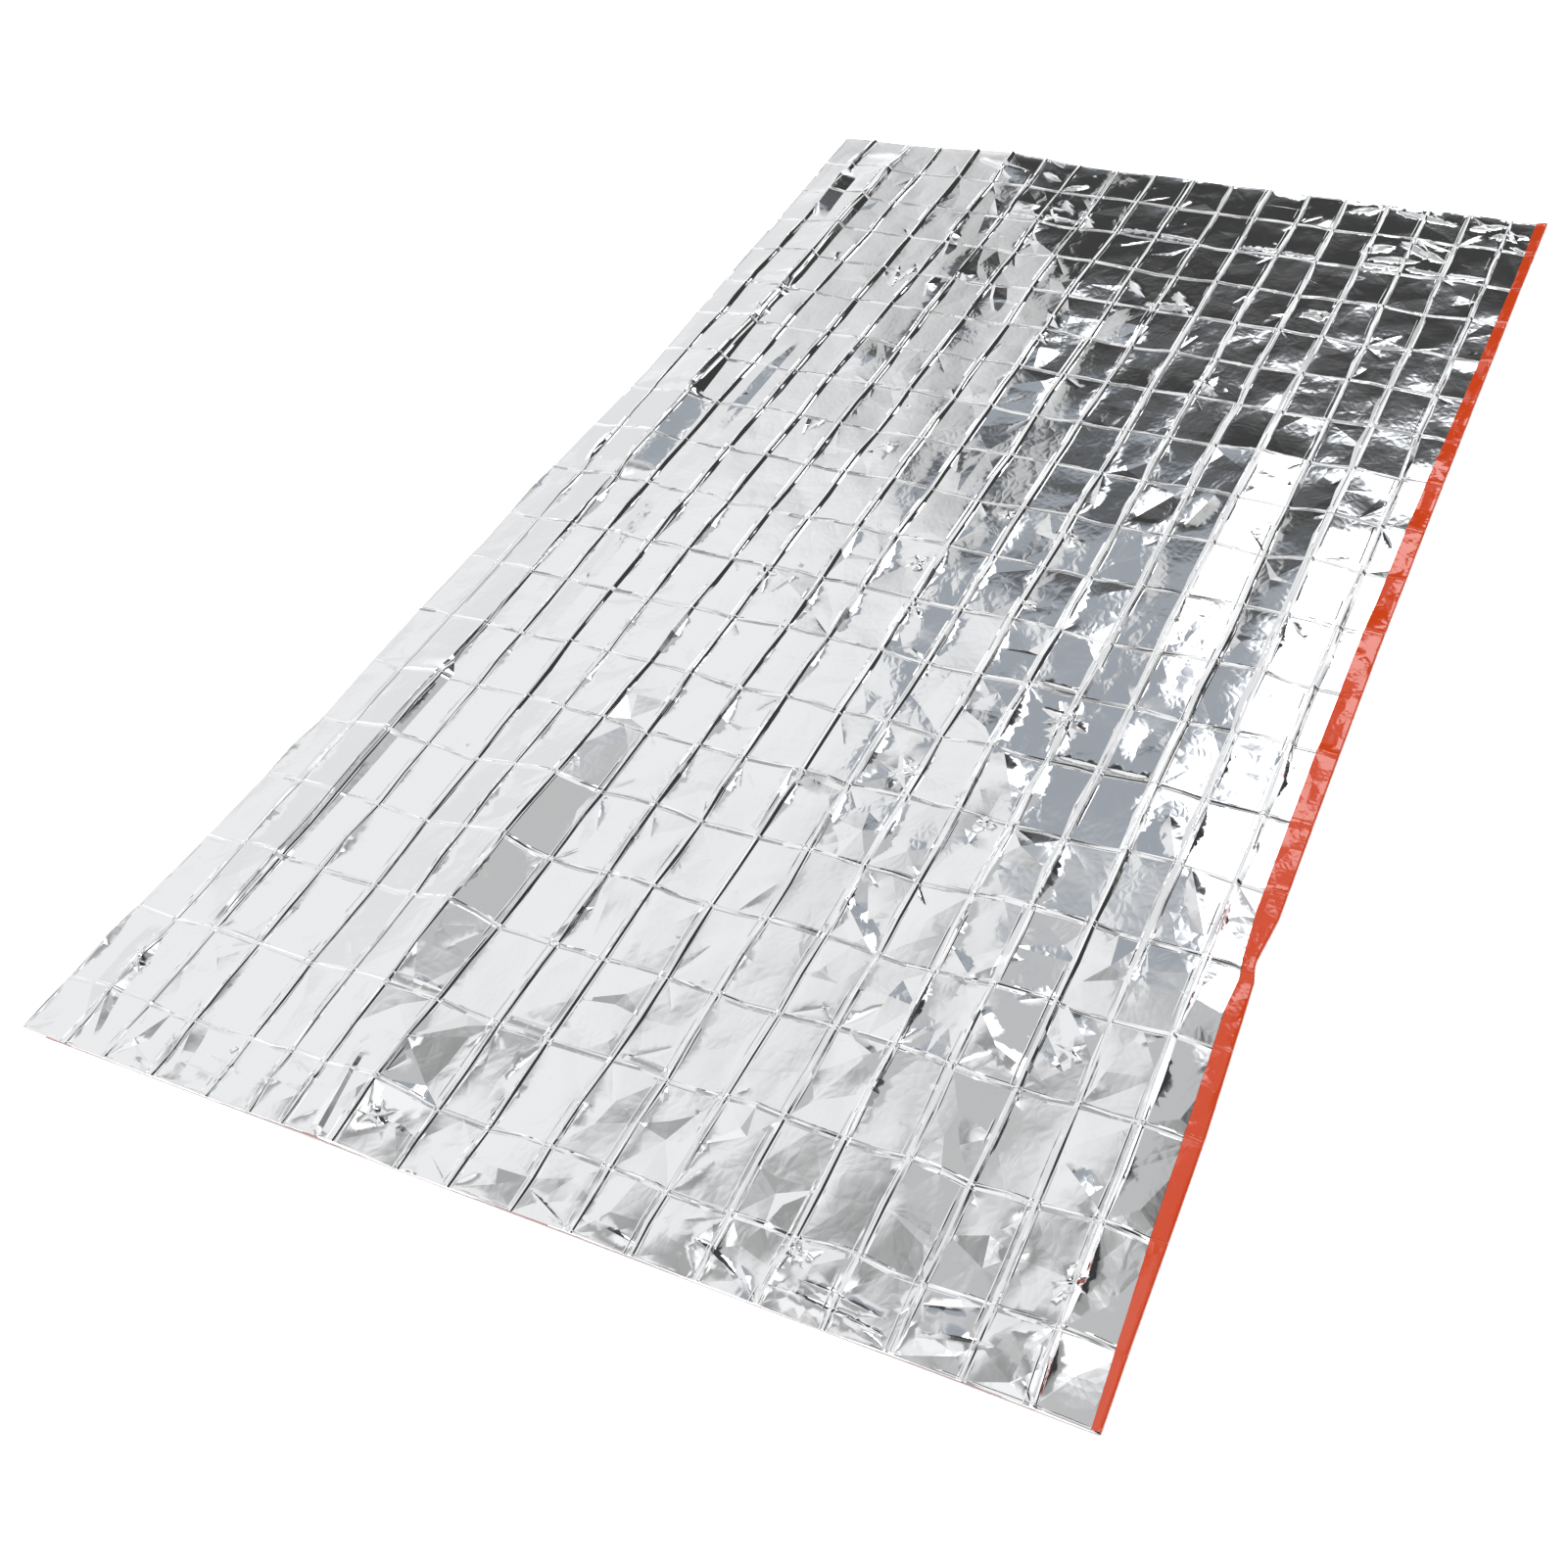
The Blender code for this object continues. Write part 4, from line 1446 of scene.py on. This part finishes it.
def add_camera(settings, collection):
    data = bpy.data.cameras.new("studio_camera")
    data.lens = settings.lens
    data.sensor_width = SENSOR_WIDTH
    camera = bpy.data.objects.new("studio_camera", data)
    back = CAMERA_RIGHT.cross(CAMERA_UP)
    turn = Matrix((CAMERA_RIGHT, CAMERA_UP, back)).transposed()
    camera.matrix_world = Matrix.Translation(CAMERA_PLACE) @ turn.to_4x4()
    collection.objects.link(camera)
    bpy.context.scene.camera = camera


def add_floor(settings, collection):
    half = settings.floor_size / 2
    corners = ((-half, -half), (half, -half), (half, half), (-half, half))
    mesh = bpy.data.meshes.new("studio_floor")
    mesh.from_pydata([(x, y, -FLOOR_DROP) for x, y in corners], [], [(0, 1, 2, 3)])
    floor = bpy.data.objects.new("studio_floor", mesh)
    material, _, shader = new_material("paper_floor")
    shader.inputs["Base Color"].default_value = (*settings.floor_colour, 1.0)
    shader.inputs["Roughness"].default_value = FLOOR_ROUGHNESS
    mesh.materials.append(material)
    collection.objects.link(floor)
    floor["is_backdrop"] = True


def add_fill(settings, collection):
    data = bpy.data.lights.new("studio_fill", "AREA")
    data.energy = settings.fill
    data.size = FILL_SIZE
    light = bpy.data.objects.new("studio_fill", data)
    light.location = (0.0, 0.0, FILL_HEIGHT)
    light.visible_glossy = False
    light.visible_camera = False
    collection.objects.link(light)


# The studio that the film mirrors, by direction: an azimuth from +Y towards +X and a height
# above the floor, both in degrees. Each part has a first brightness and the changes that
# come with height, each over its own span.
Change = namedtuple("Change", "amount start end")
WALL_LIGHT = 1.0
WALL_CHANGES = Change(-0.54, 50.0, 63.0), Change(0.62, 66.0, 74.0)
OPEN_LIGHT = 0.055
OPEN_CHANGES = (
    Change(0.08, 27.0, 33.0),
    Change(0.3, 34.0, 37.5),
    Change(0.16, 42.0, 50.0),
    Change(0.9, 59.0, 70.0),
)
BEYOND_LIGHT = 0.05
BEYOND_CHANGES = Change(0.35, 46.0, 58.0), Change(0.9, 60.0, 74.0)
# Darker parts of the wall: by how much, and the spans of azimuth and of height over which
# each one comes in. It comes in downwards or leftwards where a span runs the other way.
Shade = namedtuple("Shade", "amount azimuth height")
WALL_SHADES = (
    Shade(0.42, (-31.0, -20.0), (44.0, 32.0)),
    Shade(0.12, (-46.0, -22.0), (40.0, 50.0)),
    Shade(0.10, (-23.0, -30.0), (37.0, 30.0)),
)
# Edges that lean: by how many degrees for each degree of height, and the height where the
# edge has its own azimuth.
Lean = namedtuple("Lean", "slope height")
WALL_LEAN = Lean(-0.15, 32.0)
BOX_LEAN = Lean(0.25, 36.0)
# The spans over which the parts pass into each other: where the wall ends low down and high
# up, the heights between those two, where the open side ends, and where the wall starts
# again behind.
WALL_END = -21.2, -19.5
WALL_END_HIGH = -27.0, -14.0
HIGH = 44.0, 52.0
OPEN_END = 15.0, 21.0
WALL_START = 75.0, 100.0
# The softbox: its brightness and its left, lower and upper edges.
BOX_LIGHT = 3.4
BOX_LEFT = -16.5, -11.5
BOX_BOTTOM = 31.8, 36.6
BOX_TOP = 43.5, 51.5
# The open side is slightly blue between these heights, and the paper reaches up to these.
BLUE = (0.90, 0.97, 1.06, 1.0)
BLUE_BOTTOM = 30.0, 36.0
BLUE_TOP = 43.0, 52.0
PAPER_LIGHT = 1.2
PAPER_TOP = 6.0, 22.0


def climb(value, start, end):
    """Smoothly from 0 at the start to 1 at the end, which may be the lower one."""
    return value.step(start, end) if start < end else 1 - value.step(end, start)


def changing(light, changes, height):
    """A brightness with its changes over height."""
    for change in changes:
        light = light + change.amount * height.step(change.start, change.end)
    return light


def leaning(azimuth, height, lean):
    """The azimuth as a leaning edge sees it."""
    return azimuth - lean.slope * (height - lean.height)


def studio_light(azimuth, height):
    """Brightness of the studio in one direction, and how blue it is there.

    The left side is a white wall, brightest low down. The right side is open and dark with
    a softbox in it, and gets paler with height. Everything is bright overhead.
    """
    wall = changing(WALL_LIGHT, WALL_CHANGES, height)
    for shade in WALL_SHADES:
        wall = wall - shade.amount * climb(azimuth, *shade.azimuth) * climb(height, *shade.height)
    beyond = azimuth.step(*OPEN_END)
    dark = changing(OPEN_LIGHT, OPEN_CHANGES, height) * (1 - beyond)
    dark = dark + changing(BEYOND_LIGHT, BEYOND_CHANGES, height) * beyond
    box = leaning(azimuth, height, BOX_LEAN).step(*BOX_LEFT) * (1 - beyond)
    box = box * height.step(*BOX_BOTTOM) * (1 - height.step(*BOX_TOP))
    high = height.step(*HIGH)
    right = leaning(azimuth, height, WALL_LEAN).step(*WALL_END) * (1 - high)
    right = (right + azimuth.step(*WALL_END_HIGH) * high) * (1 - azimuth.step(*WALL_START))
    light = wall * (1 - right) + dark * right
    light = light * (1 - box) + BOX_LIGHT * box * box
    blue = right * (1 - box) * height.step(*BLUE_BOTTOM) * (1 - height.step(*BLUE_TOP))
    paper = 1 - height.step(*PAPER_TOP)
    return light * (1 - paper) + PAPER_LIGHT * paper, blue


def add_surroundings(settings, scene):
    """A world whose brightness depends on the direction only."""
    world = bpy.data.worlds.new("studio_surroundings")
    world.use_nodes = True
    tree = world.node_tree
    tree.nodes.clear()
    way = add_node(tree, "ShaderNodeTexCoord", {}, output=0)
    way = add_node(tree, "ShaderNodeVectorMath", {"operation": "NORMALIZE"}, way)
    x, y, z = (add_node(tree, "ShaderNodeSeparateXYZ", {}, way, output=i) for i in range(3))
    degrees = 180 / np.pi
    light, blue = studio_light(x.math("ARCTAN2", x, y) * degrees, z.math("ARCSINE", z) * degrees)
    shade = {"data_type": "RGBA", "blend_type": "MIX"}
    white = (1.0, 1.0, 1.0, 1.0)
    colour = add_node(tree, "ShaderNodeMix", shade, blue, white, BLUE)
    background = add_node(tree, "ShaderNodeBackground", {}, colour, light * settings.surroundings)
    output = tree.nodes.new("ShaderNodeOutputWorld")
    tree.links.new(background.socket, output.inputs["Surface"])
    scene.world = world


class FOIL_OT_stage(bpy.types.Operator):
    """Set up the floor, the lights, the surroundings and the camera"""

    bl_idname = "foil.stage"
    bl_label = "Studio stage"

    def execute(self, context):
        settings = context.scene.foil_stage
        collection = context.scene.collection
        add_camera(settings, collection)
        add_floor(settings, collection)
        add_fill(settings, collection)
        add_surroundings(settings, context.scene)
        context.scene.view_settings.view_transform = "Standard"
        return {"FINISHED"}


class FOIL_PT_panel(bpy.types.Panel):
    """Lists the blanket's and the stage's settings and operators"""

    bl_idname = "FOIL_PT_panel"
    bl_label = "Foil Blanket"
    bl_space_type = "VIEW_3D"
    bl_region_type = "UI"
    bl_category = "Foil Blanket"

    def draw(self, context):
        for group, operator in (("foil_film", "foil.blanket"), ("foil_stage", "foil.stage")):
            settings = getattr(context.scene, group)
            box = self.layout.box()
            for name in settings.bl_rna.properties.keys():
                if name not in ("rna_type", "name"):
                    box.prop(settings, name)
            box.operator(operator)


CLASSES = (FilmSettings, StageSettings, FOIL_OT_blanket, FOIL_OT_stage, FOIL_PT_panel)


def register():
    for each in CLASSES:
        bpy.utils.register_class(each)
    bpy.types.Scene.foil_film = PointerProperty(type=FilmSettings)
    bpy.types.Scene.foil_stage = PointerProperty(type=StageSettings)


def unregister():
    del bpy.types.Scene.foil_stage
    del bpy.types.Scene.foil_film
    for each in reversed(CLASSES):
        bpy.utils.unregister_class(each)


def main():
    register()
    bpy.ops.foil.stage()
    bpy.ops.foil.blanket()
    visual_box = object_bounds()
    boxes = {"cad": CAD_BOX, "visual": visual_box}
    {name: [list(corner) for corner in box] for name, box in boxes.items()}


if __name__ == "__main__":
    main()
